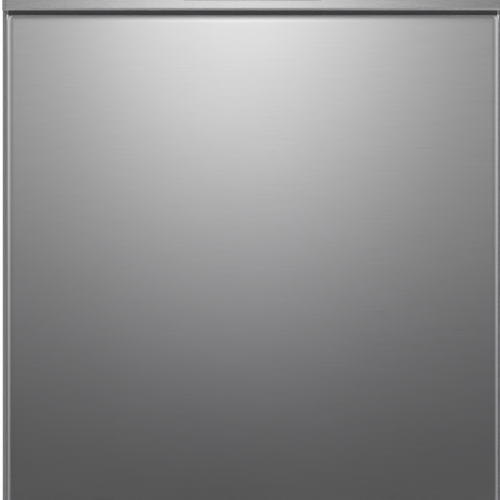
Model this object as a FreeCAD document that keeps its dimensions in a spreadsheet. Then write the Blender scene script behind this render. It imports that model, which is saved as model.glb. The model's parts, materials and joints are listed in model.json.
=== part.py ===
"""Free-standing dishwasher, 60 cm wide, as an assembly of separate pieces.

Frame: origin on the floor under the middle of the machine, +Z up, +X to the right as seen from the
front, +Y to the rear. Lengths are millimetres. Every size lives in the sheet of the document and the
pieces are bound to it.
"""
import FreeCAD
import Part
import Sketcher
import os
import re

doc = FreeCAD.newDocument("Dishwasher")
sheet = doc.addObject("Spreadsheet::Sheet", "Sizes")

SIZES = {
    # whole machine
    "width": 598, "height": 845, "depth": 600,
    # worktop
    "worktop_thickness": 30, "worktop_setback": 8, "worktop_round": 4, "worktop_gap": 3,
    # fascia
    "fascia_height": 110, "fascia_proud": 4, "fascia_wall": 2.5, "fascia_bevel": 5.4,
    "fascia_lip": 2.8,
    # door
    "groove_height": 5, "panel_inset": 5, "panel_foot": 106, "sheet_gauge": 1, "panel_return": 25,
    "panel_round": 2.5, "door_thickness": 48, "inner_top_drop": 4,
    # hinge
    "pivot_height": 138, "pivot_depth": 32, "pin_radius": 4, "pin_clear": 0.05, "bar_half": 10,
    "bar_thickness": 4, "bar_clear": 1, "arm_thickness": 5, "arm_gap": 2, "arm_reach": 190,
    "arm_half": 12, "arm_flange": 24, "notch_clear": 4, "bracket_depth": 65,
    "arm_web": 40, "pin_end": 3, "seal_height": 8, "seal_clear": 1.2,
    # cabinet
    "seal_gap": 4, "gasket_clear": 0.5, "gasket_width": 9, "foot_height": 20,
    "rear_setback": 4, "service_height": 120, "side_foot": 30,
    # plinth and tray
    "plinth_setback": 60, "plinth_thickness": 3, "tray_height": 40, "tray_wall": 3,
    # tub
    "tub_side_gap": 23, "tub_gauge": 1, "tub_head_gap": 19, "tub_rear_gap": 44, "ledge_height": 172,
    "ledge_width": 40, "sill_width": 20, "pan_height": 150, "tub_flange": 10, "rail_depth": 43,
    # latch
    "strike_width": 24, "strike_reach": 28, "strike_depth": 30, "strike_height": 8, "strike_plate": 2,
    "lock_clear": 4, "lock_wall": 5, "lock_depth": 36,
    # handle pocket
    "pocket_gap": 15, "pocket_sill": 12, "pocket_mouth": 36, "pocket_rise": 18, "pocket_depth": 34,
    "pocket_wall": 2,
    # controls
    "button_width": 18, "button_height": 10, "button_proud": 1.5, "button_travel": 1.5,
    "button_clear": 0.3, "button_flange": 2, "button_lip": 1.5, "button_pitch": 26,
    "controls_margin": 31, "controls_rise": 55, "window_width": 64, "window_height": 24,
    "window_clear": 0.1, "window_step": 0.4, "module_depth": 22, "module_height": 46,
    "module_margin": 10, "post_size": 6,
    # dispenser
    "dispenser_width": 160, "dispenser_height": 190, "dispenser_foot": 330, "dispenser_proud": 6,
    "dispenser_sink": 30, "dispenser_wall": 3, "cup_width": 70, "cup_height": 76, "cup_margin": 10,
    "lid_thickness": 2, "lid_lap": 4, "lid_clear": 0.3, "lid_travel": 84, "guide_size": 3,
    "cap_radius": 24, "cap_height": 7, "cap_neck_radius": 18, "cap_clear": 0.05, "cap_neck": 12,
    # racks
    "rack_gap": 22, "wire": 4, "rack_rear_gap": 31.5, "mesh": 40, "lower_floor": 204, "lower_wall": 190,
    "wheel_radius": 17, "wheel_width": 9, "wheel_inset": 112, "wheel_rear_inset": 46, "axle_radius": 3,
    "axle_clear": 0.05, "wheel_play": 0.5, "axle_head": 2, "axle_head_radius": 6, "rack_side_gap": 4,
    "roll_clear": 0.3, "tab_half": 8, "upper_floor": 472, "upper_wall": 130, "shelf_height": 60,
    "tine_height": 90, "tine_count": 9, "tine_margin": 44, "tine_gap": 96, "tine_rise": 6,
    "fold_row": 40, "fixed_row": 50, "fixed_row_pitch": 90, "bearing_width": 8, "bearing_half": 5,
    "cutlery_width": 92, "cutlery_length": 300, "cutlery_height": 120, "cutlery_wall": 2.5,
    "cutlery_margin": 12, "cutlery_cells": 4,
    # upper rails
    "rail_height": 560, "roller_radius": 9.5, "roller_width": 8, "roller_clear": 0.5, "rail_wall": 1.5,
    "rail_end_gap": 18, "rail_wall_gap": 2, "roller_front": 40, "roller_pitch": 150,
    "rack_wheel_front": 184, "rack_wheel_rear": 39, "rack_clear": 1.5,
    # cup shelves
    "shelf_reach": 110, "shelf_length": 300, "shelf_plate": 3, "shelf_axis": 6, "eye_half": 4,
    "eye_length": 12, "shelf_play": 0.5,
    # water path
    "hub_radius": 14, "hub_top": 164, "spigot_radius": 9, "spigot_height": 11, "arm_side_gap": 20,
    "arm_front_gap": 7.5, "arm_width": 44, "arm_tip": 26, "arm_thick": 14, "spray_clear": 0.05,
    "spray_gap": 0.3,
    "sump_radius": 95, "sump_floor": 70, "sump_wall": 3, "filter_radius": 30, "filter_offset": 55,
    "filter_clear": 0.4, "filter_plate_gauge": 1.5, "filter_rim": 15, "filter_flange": 6,
    "filter_flange_height": 4, "filter_depth": 50, "filter_wall": 4, "filter_grip": 8,
    "filter_grip_width": 5, "duct_width": 30, "duct_depth": 15, "nozzle_gap": 0.5,
    "head_radius": 40, "head_height": 12, "upper_arm_less": 5, "upper_hub_drop": 16,
    "manifold_height": 16, "element_margin": 15, "element_tube": 4, "element_rise": 7,
    "clip_size": 10, "pump_radius": 42, "pump_length": 110, "pump_wall": 3, "shaft_radius": 4,
    "shaft_clear": 0.05, "shaft_end": 1, "impeller_clear": 3, "impeller_width": 30,
    "drain_radius": 26, "drain_length": 60, "nose_radius": 12, "nose_length": 20, "pump_height": 100,
    # softener and services
    "softener_width": 125, "softener_front_gap": 41.5, "softener_side": 125, "softener_gap": 15,
    "salt_radius": 29, "salt_bore": 24, "salt_clear": 0.05, "salt_gap": 0.3, "salt_cap_radius": 34,
    "salt_cap_height": 9, "salt_plug": 10, "salt_neck": 4, "valve_width": 50, "valve_depth": 34,
    "valve_height": 108, "valve_inset": 98, "inlet_radius": 13.2, "inlet_length": 14,
    "service_rise": 90, "drain_spigot_radius": 10, "drain_spigot_length": 22, "drain_inset": 148,
    "gland_radius": 6, "gland_wall": 4, "gland_length": 10, "gland_inset": 63, "gland_width": 40,
    "break_thickness": 18, "break_length": 240, "break_height": 340, "break_foot": 260,
    # screws
    "screw_radius": 3, "screw_head": 2.5, "screw_margin": 30,
    # feet
    "foot_radius": 22, "foot_pad": 8, "stem_radius": 6, "foot_inset": 45,
}

for row, (alias, number) in enumerate(SIZES.items(), start=1):
    sheet.set(f"A{row}", alias)
    sheet.set(f"B{row}", str(number))
    sheet.setAlias(f"B{row}", alias)
doc.recompute()


# Bound sizes

def bound(text):
    """Turn size names in a formula into references to the sheet."""
    return re.sub(r"\b(?!min\b)[a-z][a-z_]+", lambda word: "Sizes." + word[0], text)


def value(text):
    """Number that a formula of sizes has now."""
    return float(sheet.evalExpression(bound(text)))


def place(item, x, y, z):
    for axis, text in zip("xyz", (x, y, z)):
        item.setExpression("Placement.Base." + axis, bound(text))


def block(name, x, y, z):
    """Rectangular block between pairs of formulas along X, Y and Z."""
    item = doc.addObject("Part::Box", name)
    for side, (low, high) in zip(("Length", "Width", "Height"), (x, y, z)):
        item.setExpression(side, bound(f"({high}) - ({low})"))
    place(item, x[0], y[0], z[0])
    return item


TURNS = {
    "x": FreeCAD.Rotation(FreeCAD.Vector(0, 1, 0), 90),
    "y": FreeCAD.Rotation(FreeCAD.Vector(1, 0, 0), -90),
    "z": FreeCAD.Rotation(),
}


def rod(name, axis, centre, radius, span):
    """Cylinder along an axis: centre has the two other coordinates, span its two ends."""
    item = doc.addObject("Part::Cylinder", name)
    item.setExpression("Radius", bound(radius))
    item.setExpression("Height", bound(f"({span[1]}) - ({span[0]})"))
    item.Placement = FreeCAD.Placement(FreeCAD.Vector(), TURNS[axis])
    corner = list(centre)
    corner.insert("xyz".index(axis), span[0])
    place(item, *corner)
    return item


def join(name, *pieces):
    """One solid from pieces that touch or overlap."""
    item = doc.addObject("Part::MultiFuse", name)
    item.Shapes = list(pieces)
    item.Refine = True
    return item


def cut(name, base, *tools):
    """Base less its tools."""
    item = doc.addObject("Part::Cut", name)
    item.Base = base
    item.Tool = tools[0] if len(tools) == 1 else join(name + "_tools", *tools)
    item.Refine = True
    return item


def bundle(name, *pieces):
    """Separate solids that belong to one node."""
    item = doc.addObject("Part::Compound", name)
    item.Links = list(pieces)
    return item


def mirrored(name, source):
    """Copy on the other side of the machine's middle plane."""
    item = doc.addObject("Part::Mirroring", name)
    item.Source = source
    item.Normal = FreeCAD.Vector(1, 0, 0)
    return item


def pair(name, source):
    """A piece and its mirror image in one node."""
    return bundle(name, source, mirrored(name + "_mirror", source))


PLANES = {"z": "XY_Plane", "y": "XZ_Plane", "x": "YZ_Plane"}


def sketch_on(body, name, normal, level):
    """Empty sketch on one of the body's own planes, moved along its normal to a level."""
    plane = next(item for item in body.Origin.OriginFeatures if item.Role == PLANES[normal])
    sketch = body.newObject("Sketcher::SketchObject", name)
    sketch.AttachmentSupport = (plane, "")
    sketch.MapMode = "FlatFace"
    sign = "-" if normal == "y" else ""
    sketch.setExpression("AttachmentOffset.Base.z", bound(f"{sign}({level})"))
    return sketch


def polygon(sketch, points):
    """Closed outline whose corners are held at formulas for both coordinates."""
    from_origin = (-1, 1)
    corners = [FreeCAD.Vector(value(u), value(v), 0) for u, v in points]
    first = sketch.GeometryCount
    for start, end in zip(corners, corners[1:] + corners[:1]):
        sketch.addGeometry(Part.LineSegment(start, end), False)
    for index, (u, v) in enumerate(points):
        line = first + index
        after = first + (index + 1) % len(points)
        sketch.addConstraint(Sketcher.Constraint("Coincident", line, 2, after, 1))
        for kind, text, own_axis in (("DistanceX", u, -2), ("DistanceY", v, -1)):
            if text == "0":
                sketch.addConstraint(Sketcher.Constraint("PointOnObject", line, 1, own_axis))
                continue
            held = sketch.addConstraint(Sketcher.Constraint(kind, *from_origin, line, 1, value(text)))
            sketch.setExpression(f"Constraints[{held}]", bound(text))


def prism(name, normal, points, span):
    """Body padded from one outline, between two levels along the outline's normal."""
    body = doc.addObject("PartDesign::Body", name)
    level = span[1] if normal == "y" else span[0]
    sketch = sketch_on(body, name + "_outline", normal, level)
    polygon(sketch, points)
    pad = body.newObject("PartDesign::Pad", name + "_pad")
    pad.Profile = sketch
    pad.setExpression("Length", bound(f"({span[1]}) - ({span[0]})"))
    return body


def turned(name, points, centre, axis="z"):
    """Body turned about an axis through centre, from an outline of radius and level."""
    body = doc.addObject("PartDesign::Body", name)
    sketch = sketch_on(body, name + "_outline", "y", "0")
    polygon(sketch, points)
    turn = body.newObject("PartDesign::Revolution", name + "_turn")
    turn.Profile = sketch
    turn.ReferenceAxis = (sketch, ["V_Axis"])
    turn.Angle = 360
    body.Placement = FreeCAD.Placement(FreeCAD.Vector(), TURNS[axis])
    place(body, *centre)
    return body


def rounded(body, base, name, radius, chosen):
    """Round those edges of a body's feature that the test picks."""
    doc.recompute()
    names = [f"Edge{index}" for index, edge in enumerate(base.Shape.Edges, start=1) if chosen(edge)]
    fillet = body.newObject("PartDesign::Fillet", name)
    fillet.Base = (base, names)
    fillet.setExpression("Radius", bound(radius))
    return fillet


def bevelled(body, base, name, size, chosen):
    """Bevel those edges of a body's feature that the test picks."""
    doc.recompute()
    names = [f"Edge{index}" for index, edge in enumerate(base.Shape.Edges, start=1) if chosen(edge)]
    bevel = body.newObject("PartDesign::Chamfer", name)
    bevel.Base = (base, names)
    bevel.setExpression("Size", bound(size))
    return bevel


def lies_at(edge, axis, level):
    """Whether the whole edge lies in the plane at that level of an axis."""
    near = 0.001
    limit = value(level)
    box = edge.BoundBox
    low = {"x": box.XMin, "y": box.YMin, "z": box.ZMin}[axis]
    high = {"x": box.XMax, "y": box.YMax, "z": box.ZMax}[axis]
    return abs(low - limit) < near and abs(high - limit) < near


# Planes that the pieces share

HALF = "width / 2"
FRONT = "(-depth / 2 + button_proud)"
FASCIA_BACK = f"({FRONT} + fascia_wall)"
PANEL_FACE = f"({FRONT} + fascia_proud)"
INNER_FACE = f"({PANEL_FACE} + door_thickness)"
INNER_BACK = f"({INNER_FACE} - sheet_gauge)"
RETURN_END = f"({PANEL_FACE} + panel_return)"
CABINET_FRONT = f"({INNER_FACE} + seal_gap)"
REAR = "(depth / 2 - rear_setback)"
PIVOT_Y = f"({INNER_FACE} - pivot_depth)"
WORKTOP_FOOT = "(height - worktop_thickness)"
FASCIA_TOP = f"({WORKTOP_FOOT} - worktop_gap)"
FASCIA_FOOT = f"({FASCIA_TOP} - fascia_height)"
PANEL_TOP = f"({FASCIA_FOOT} - groove_height)"
PANEL_HALF = f"({HALF} - panel_inset)"
INNER_TOP = f"({FASCIA_TOP} - inner_top_drop)"
PLINTH_FRONT = f"({PANEL_FACE} + plinth_setback)"
PLINTH_BACK = f"({PLINTH_FRONT} + plinth_thickness)"
SIDE_INNER = f"({HALF} - sheet_gauge)"
TRAY_FLOOR = "(foot_height + tray_wall)"
TUB_HALF = "(width / 2 - tub_side_gap)"
TUB_INNER = f"({TUB_HALF} - tub_gauge)"
TUB_REAR = "(depth / 2 - tub_rear_gap)"
TUB_BACK_INNER = f"({TUB_REAR} - tub_gauge)"
TUB_CEILING = f"({WORKTOP_FOOT} - tub_head_gap)"
CEILING_INNER = f"({TUB_CEILING} - tub_gauge)"
PAN_HALF = f"({TUB_INNER} - ledge_width)"
PAN_FRONT = f"({CABINET_FRONT} + sill_width)"
PAN_REAR = f"({TUB_BACK_INNER} - sill_width)"
FLANGE_EDGE = f"({TUB_HALF} + tub_flange)"
LEDGE_FOOT = "(ledge_height - tub_gauge)"
PAN_FOOT = "(pan_height - tub_gauge)"
BAR_OUT = f"({FLANGE_EDGE} - bar_clear)"
BAR_IN = f"({BAR_OUT} - bar_thickness)"
ARM_OUT = f"({BAR_IN} - arm_gap)"
ARM_IN = f"({ARM_OUT} - arm_thickness)"
BRACKET_FRONT = f"({PLINTH_BACK} + tray_wall)"
BRACKET_BACK = f"({BRACKET_FRONT} + bracket_depth)"


def both(half):
    """Range from minus to plus a half size."""
    return (f"-({half})", half)


# Worktop

def make_worktop():
    front = f"({FRONT} + worktop_setback)"
    body = prism("worktop", "z", [(f"-{HALF}", front), (HALF, front), (HALF, "depth / 2"),
                                  (f"-{HALF}", "depth / 2")], (WORKTOP_FOOT, "height"))
    rounded(body, body.Tip, "worktop_edges", "worktop_round", lambda edge: lies_at(edge, "z", "height"))
    return body


# Side panels with a folded front flange

def make_side_panel(name, side):
    fold = f"({CABINET_FRONT} + sheet_gauge)"
    points = [(HALF, CABINET_FRONT), (HALF, REAR), (SIDE_INNER, REAR), (SIDE_INNER, fold),
              (FLANGE_EDGE, fold), (FLANGE_EDGE, CABINET_FRONT)]
    if side < 0:
        points = [(f"-({x})", y) for x, y in points]
    return prism(name, "z", points, ("side_foot", WORKTOP_FOOT))


def make_rear_panel():
    return block("rear_panel", both(SIDE_INNER), (f"{REAR} - sheet_gauge", REAR),
                 ("service_height", WORKTOP_FOOT))


# Base tray, plinth and feet

TRAY_BACK = f"({REAR} - sheet_gauge)"


def make_base_tray():
    outer = block("tray_outer", both(SIDE_INNER), (PLINTH_BACK, TRAY_BACK),
                  ("foot_height", "foot_height + tray_height"))
    hollow = block("tray_hollow", both(f"{SIDE_INNER} - tray_wall"),
                   (f"{PLINTH_BACK} + tray_wall", f"{TRAY_BACK} - tray_wall"),
                   (TRAY_FLOOR, "foot_height + tray_height + tray_wall"))
    return cut("base_tray", outer, hollow)


def make_plinth():
    step = "(pivot_height - bar_half - bar_clear)"
    inner = f"({BAR_IN} - bar_clear)"
    right = [(SIDE_INNER, "foot_height"), (SIDE_INNER, step), (inner, step), (inner, LEDGE_FOOT)]
    left = [(f"-{x}", z) for x, z in reversed(right)]
    return prism("plinth", "y", right + left, (PLINTH_FRONT, PLINTH_BACK))


def make_levelling_feet():
    feet = []
    outline = [("0", "0"), ("foot_radius", "0"), ("foot_radius", "foot_pad"),
               ("stem_radius", "foot_pad"), ("stem_radius", "foot_height"), ("0", "foot_height")]
    for across in ("-", ""):
        for along, reach in (("front", f"{PLINTH_BACK} + foot_inset"), ("rear", f"{TRAY_BACK} - foot_inset")):
            side = "left" if across else "right"
            feet.append(turned(f"foot_{along}_{side}", outline,
                               (f"{across}({SIDE_INNER} - foot_inset)", reach, "0")))
    return bundle("levelling_feet", *feet)


def make_top_rail():
    front = f"({CABINET_FRONT} + tub_gauge)"
    back = f"({front} + rail_depth)"
    under = f"({WORKTOP_FOOT} - sheet_gauge)"
    points = [(front, TUB_CEILING), (f"{front} + sheet_gauge", TUB_CEILING),
              (f"{front} + sheet_gauge", under), (f"{back} - sheet_gauge", under),
              (f"{back} - sheet_gauge", TUB_CEILING), (back, TUB_CEILING),
              (back, WORKTOP_FOOT), (front, WORKTOP_FOOT)]
    return prism("top_rail", "x", points, both(FLANGE_EDGE))


def make_case_screws():
    heads = []
    for side in ("-", ""):
        for index, level in enumerate(("service_height + screw_margin",
                                       f"(service_height + {WORKTOP_FOOT}) / 2",
                                       f"{WORKTOP_FOOT} - screw_margin")):
            centre = (f"{side}({SIDE_INNER} - screw_margin)", level)
            heads.append(rod(f"case_screw_{'left' if side else 'right'}_{index}", "y", centre,
                             "screw_radius", (REAR, f"{REAR} + screw_head")))
    return bundle("case_screws", *heads)


# Tub of welded sheets

SUMP_MOUTH = "(sump_radius - sump_wall)"
SALT_X = "(-softener_side)"
SOFTENER_REAR = "(-pump_radius - softener_gap)"
SALT_Y = f"({SOFTENER_REAR} - salt_radius - salt_neck)"


def make_tub():
    depth = (CABINET_FRONT, TUB_REAR)
    sheets = []
    for side, sign in (("left", "-"), ("right", "")):
        def across(low, high):
            return (f"-({high})", f"-({low})") if sign else (low, high)
        sheets.append(block(f"tub_{side}", across(TUB_INNER, TUB_HALF), depth,
                            (LEDGE_FOOT, TUB_CEILING)))
        sheets.append(block(f"tub_flange_{side}", across(TUB_HALF, FLANGE_EDGE),
                            (CABINET_FRONT, f"{CABINET_FRONT} + tub_gauge"),
                            (LEDGE_FOOT, f"{TUB_CEILING} + tub_flange")))
        sheets.append(block(f"ledge_{side}", across(PAN_HALF, TUB_INNER),
                            (CABINET_FRONT, TUB_BACK_INNER), (LEDGE_FOOT, "ledge_height")))
        sheets.append(block(f"pan_{side}", across(PAN_HALF, f"{PAN_HALF} + tub_gauge"),
                            (PAN_FRONT, PAN_REAR), (PAN_FOOT, LEDGE_FOOT)))
    sheets.append(block("tub_top", both(TUB_INNER), depth, (CEILING_INNER, TUB_CEILING)))
    sheets.append(block("tub_flange_top", both(TUB_HALF),
                        (CABINET_FRONT, f"{CABINET_FRONT} + tub_gauge"),
                        (TUB_CEILING, f"{TUB_CEILING} + tub_flange")))
    sheets.append(block("tub_back", both(TUB_INNER), (TUB_BACK_INNER, TUB_REAR),
                        (LEDGE_FOOT, CEILING_INNER)))
    sheets.append(block("ledge_front", both(PAN_HALF), (CABINET_FRONT, PAN_FRONT),
                        (LEDGE_FOOT, "ledge_height")))
    sheets.append(block("ledge_rear", both(PAN_HALF), (PAN_REAR, TUB_BACK_INNER),
                        (LEDGE_FOOT, "ledge_height")))
    sheets.append(block("pan_front", both(PAN_HALF), (f"{PAN_FRONT} - tub_gauge", PAN_FRONT),
                        (PAN_FOOT, LEDGE_FOOT)))
    sheets.append(block("pan_rear", both(PAN_HALF), (PAN_REAR, f"{PAN_REAR} + tub_gauge"),
                        (PAN_FOOT, LEDGE_FOOT)))
    floor = block("pan_plate", both(PAN_HALF), (PAN_FRONT, PAN_REAR), (PAN_FOOT, "pan_height"))
    through = (f"{PAN_FOOT} - tub_gauge", "pan_height + tub_gauge")
    sump_hole = rod("sump_hole", "z", ("0", "0"), SUMP_MOUTH, through)
    salt_hole = rod("salt_hole", "z", (SALT_X, SALT_Y), "salt_radius + salt_gap", through)
    sheets.append(cut("pan_floor", floor, sump_hole, salt_hole))
    return bundle("tub", *sheets)


def make_tub_gasket():
    depth = (f"{INNER_FACE} + gasket_clear", CABINET_FRONT)
    outer = f"({TUB_HALF} + gasket_width)"
    top = f"({TUB_CEILING} + gasket_width)"
    points = [(TUB_HALF, "ledge_height"), (outer, "ledge_height"), (outer, top), (f"-{outer}", top),
              (f"-{outer}", "ledge_height"), (f"-{TUB_HALF}", "ledge_height"),
              (f"-{TUB_HALF}", TUB_CEILING), (TUB_HALF, TUB_CEILING)]
    return prism("tub_gasket", "y", points, depth)


STRIKE_FOOT = f"({CEILING_INNER} - strike_height)"


def make_latch_strike():
    tongue = block("strike_tongue", both("strike_width / 2"),
                   (f"{CABINET_FRONT} - strike_reach", CABINET_FRONT), (STRIKE_FOOT, CEILING_INNER))
    plate = block("strike_plate_block", both("strike_width / 2"),
                  (CABINET_FRONT, f"{CABINET_FRONT} + strike_depth"),
                  (f"{CEILING_INNER} - strike_plate", CEILING_INNER))
    return join("latch_strike", tongue, plate)


# Hinge: brackets with pins on the tray, arms on the door

def make_hinge_brackets():
    across = (BAR_IN, BAR_OUT)
    bar = block("hinge_bar", across, (PIVOT_Y, BRACKET_FRONT),
                ("pivot_height - bar_half", "pivot_height + bar_half"))
    nose = rod("hinge_nose", "x", (PIVOT_Y, "pivot_height"), "bar_half", across)
    foot = block("hinge_foot", across, (BRACKET_FRONT, BRACKET_BACK),
                 (TRAY_FLOOR, "pivot_height + bar_half"))
    pin = rod("hinge_pin", "x", (PIVOT_Y, "pivot_height"), "pin_radius",
              (f"{ARM_IN} - pin_end", BAR_OUT))
    return pair("hinge_brackets", join("hinge_bracket", bar, nose, foot, pin))


def make_hinge_arms():
    across = (ARM_IN, ARM_OUT)
    plate = block("arm_plate", across, (f"{PIVOT_Y} - arm_half", f"{PIVOT_Y} + arm_half"),
                  ("pivot_height - arm_half", "pivot_height + arm_reach"))
    web = block("arm_web_plate", across, (f"{PIVOT_Y} - arm_half", INNER_BACK),
                ("pivot_height + arm_web", "pivot_height + arm_reach"))
    flange = block("arm_flange_plate", (f"{ARM_OUT} - arm_flange", ARM_OUT),
                   (f"{INNER_BACK} - arm_gap", INNER_BACK),
                   ("pivot_height + arm_web", "pivot_height + arm_reach"))
    bore = rod("arm_bore", "x", (PIVOT_Y, "pivot_height"), "pin_radius + pin_clear",
               (f"{ARM_IN} - pin_end", BAR_OUT))
    return pair("hinge_arms", cut("hinge_arm", join("arm_blank", plate, web, flange), bore))


# Door: outer panel, inner panel and seal

def bar_notch(name, side, low, high):
    """Room for a hinge bar, which the door turns around, in the sheet of a door panel."""
    edges = (f"{BAR_IN} - notch_clear", f"{BAR_OUT} + notch_clear")
    if side < 0:
        edges = (f"-({edges[1]})", f"-({edges[0]})")
    return block(name, edges, (f"{PANEL_FACE} + 2 * sheet_gauge", CABINET_FRONT), (low, high))


def make_door_panel():
    face = [(f"-{PANEL_HALF}", "panel_foot"), (PANEL_HALF, "panel_foot"), (PANEL_HALF, PANEL_TOP),
            (f"-{PANEL_HALF}", PANEL_TOP)]
    body = prism("panel_blank", "y", face, (PANEL_FACE, RETURN_END))
    rounded(body, body.Tip, "panel_edges", "panel_round", lambda edge: lies_at(edge, "y", PANEL_FACE))
    hollow = block("panel_hollow", both(f"{PANEL_HALF} - sheet_gauge"),
                   (f"{PANEL_FACE} + sheet_gauge", f"{RETURN_END} + sheet_gauge"),
                   ("panel_foot + sheet_gauge", f"{PANEL_TOP} - sheet_gauge"))
    foot = ("panel_foot - sheet_gauge", "panel_foot + 2 * sheet_gauge")
    return cut("door_panel", body, hollow, bar_notch("panel_notch_left", -1, *foot),
               bar_notch("panel_notch_right", 1, *foot))


LOCK_FOOT = f"({STRIKE_FOOT} - lock_clear)"
LOCK_HEAD = f"({CEILING_INNER} + lock_clear)"
LOCK_HALF = "(strike_width / 2 + lock_clear)"
DISPENSER_HALF = "(dispenser_width / 2)"
DISPENSER_TOP = "(dispenser_foot + dispenser_height)"


def make_door_inner_panel():
    through = (f"{RETURN_END} - sheet_gauge", f"{INNER_FACE} + sheet_gauge")
    tray = block("inner_tray", both(PANEL_HALF), (RETURN_END, INNER_FACE), ("pivot_height", PANEL_TOP))
    head = block("inner_head", both(PANEL_HALF), (INNER_BACK, INNER_FACE), (PANEL_TOP, INNER_TOP))
    hollow = block("inner_hollow", both(f"{PANEL_HALF} - sheet_gauge"),
                   (f"{RETURN_END} - sheet_gauge", INNER_BACK),
                   ("pivot_height - sheet_gauge", f"{PANEL_TOP} - sheet_gauge"))
    slot = block("lock_slot", both(LOCK_HALF), through, (LOCK_FOOT, LOCK_HEAD))
    hole = block("dispenser_hole", both(DISPENSER_HALF), through, ("dispenser_foot", DISPENSER_TOP))
    foot = ("pivot_height - sheet_gauge", "pivot_height + bar_half + notch_clear")
    return cut("door_inner_panel", join("inner_blank", tray, head), hollow, slot, hole,
               bar_notch("inner_notch_left", -1, *foot), bar_notch("inner_notch_right", 1, *foot))


def make_door_seal():
    return block("door_seal", both(f"{BAR_IN} - 2 * notch_clear"),
                 (INNER_FACE, f"{CABINET_FRONT} - seal_clear"),
                 ("pivot_height", "pivot_height + seal_height"))


def make_door_lock():
    half = f"({LOCK_HALF} + lock_wall)"
    front = f"({INNER_BACK} - lock_depth)"
    case = block("lock_case", both(half), (front, INNER_BACK),
                 (f"{LOCK_FOOT} - lock_wall", f"{LOCK_HEAD} + lock_wall"))
    throat = block("lock_throat", both(LOCK_HALF), (f"{front} + lock_wall", f"{INNER_BACK} + lock_wall"),
                   (LOCK_FOOT, LOCK_HEAD))
    return cut("door_lock", case, throat)


def make_door_screws():
    heads = []
    for side in ("-", ""):
        for index, level in enumerate(("pivot_height + arm_reach", f"({PANEL_TOP} + pivot_height) / 2",
                                       f"{PANEL_TOP} - screw_margin")):
            centre = (f"{side}({PANEL_HALF} - screw_radius - sheet_gauge)", level)
            heads.append(rod(f"door_screw_{'left' if side else 'right'}_{index}", "y", centre,
                             "screw_radius", (INNER_FACE, f"{INNER_FACE} + screw_head / 2")))
    return bundle("door_screws", *heads)


# Fascia with handle pocket and controls

POCKET_FOOT = f"({FASCIA_FOOT} + pocket_sill)"
POCKET_LIP = f"({POCKET_FOOT} + pocket_mouth)"
POCKET_TOP = f"({POCKET_LIP} + pocket_rise)"
CONTROL_LINE = f"({FASCIA_FOOT} + controls_rise)"
START_X = f"({HALF} - controls_margin)"
WINDOW_RIGHT = f"({START_X} - 3 * button_pitch + button_width / 2)"
WINDOW_LEFT = f"({WINDOW_RIGHT} - window_width)"
BUTTONS = {
    "power_button": f"({WINDOW_LEFT} - button_pitch + button_width / 2)",
    "program_button": f"({START_X} - 2 * button_pitch)",
    "timer_button": f"({START_X} - button_pitch)",
    "start_button": START_X,
}
MODULE_LEFT = f"({BUTTONS['power_button']} - button_width / 2 - module_margin)"
MODULE_RIGHT = f"({START_X} + button_width / 2 + module_margin)"
POCKET_HALF = f"({MODULE_LEFT} - pocket_gap - pocket_wall)"
WINDOW_LEVELS = (f"{CONTROL_LINE} - window_height / 2", f"{CONTROL_LINE} + window_height / 2")


def control_range(centre, half):
    return (f"{centre} - {half}", f"{centre} + {half}")


def make_fascia():
    face = [(f"-{HALF}", FASCIA_FOOT), (HALF, FASCIA_FOOT), (HALF, FASCIA_TOP), (f"-{HALF}", FASCIA_TOP)]
    body = prism("fascia_blank", "y", face, (FRONT, INNER_BACK))

    def upright_front(edge):
        return lies_at(edge, "y", FRONT) and (lies_at(edge, "x", HALF) or lies_at(edge, "x", f"-{HALF}"))

    def level_front(edge):
        return lies_at(edge, "y", FRONT) and (
            lies_at(edge, "z", FASCIA_FOOT) or lies_at(edge, "z", FASCIA_TOP))

    sides = bevelled(body, body.Tip, "fascia_side_bevels", "fascia_bevel", upright_front)
    bevelled(body, sides, "fascia_lip_bevels", "fascia_lip", level_front)
    through = (f"{FRONT} - fascia_wall", f"{FASCIA_BACK} + fascia_wall")
    cavity = block("fascia_cavity", both(f"{HALF} - fascia_bevel - fascia_wall"),
                   (FASCIA_BACK, f"{INNER_BACK} + fascia_wall"),
                   (f"{FASCIA_FOOT} + fascia_wall", f"{FASCIA_TOP} - fascia_wall"))
    mouth = block("pocket_hole", both(POCKET_HALF), through, (POCKET_FOOT, POCKET_LIP))
    window = block("window_hole", (f"{WINDOW_LEFT} - window_clear", f"{WINDOW_RIGHT} + window_clear"),
                   through, (f"{WINDOW_LEVELS[0]} - window_clear", f"{WINDOW_LEVELS[1]} + window_clear"))
    holes = [block(f"{name}_hole", control_range(centre, "(button_width / 2 + button_clear)"), through,
                   control_range(CONTROL_LINE, "(button_height / 2 + button_clear)"))
             for name, centre in BUTTONS.items()]
    return cut("fascia", body, cavity, mouth, window, *holes)


def make_handle_pocket():
    back = f"({FASCIA_BACK} + pocket_depth)"
    cup = block("pocket_outer", both(f"{POCKET_HALF} + pocket_wall"), (FASCIA_BACK, back),
                (f"{POCKET_FOOT} - pocket_wall", f"{POCKET_TOP} + pocket_wall"))
    hollow = block("pocket_hollow", both(POCKET_HALF),
                   (f"{FASCIA_BACK} - pocket_wall", f"{back} - pocket_wall"), (POCKET_FOOT, POCKET_TOP))
    return cut("handle_pocket", cup, hollow)


def make_display_window():
    return block("display_window", (WINDOW_LEFT, WINDOW_RIGHT), (f"{FRONT} + window_step", FASCIA_BACK),
                 WINDOW_LEVELS)


FLANGE_FRONT = f"({FASCIA_BACK} + button_clear)"
FLANGE_BACK = f"({FLANGE_FRONT} + button_flange)"
MODULE_FRONT = f"({FLANGE_BACK} + button_travel + button_clear)"


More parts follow.
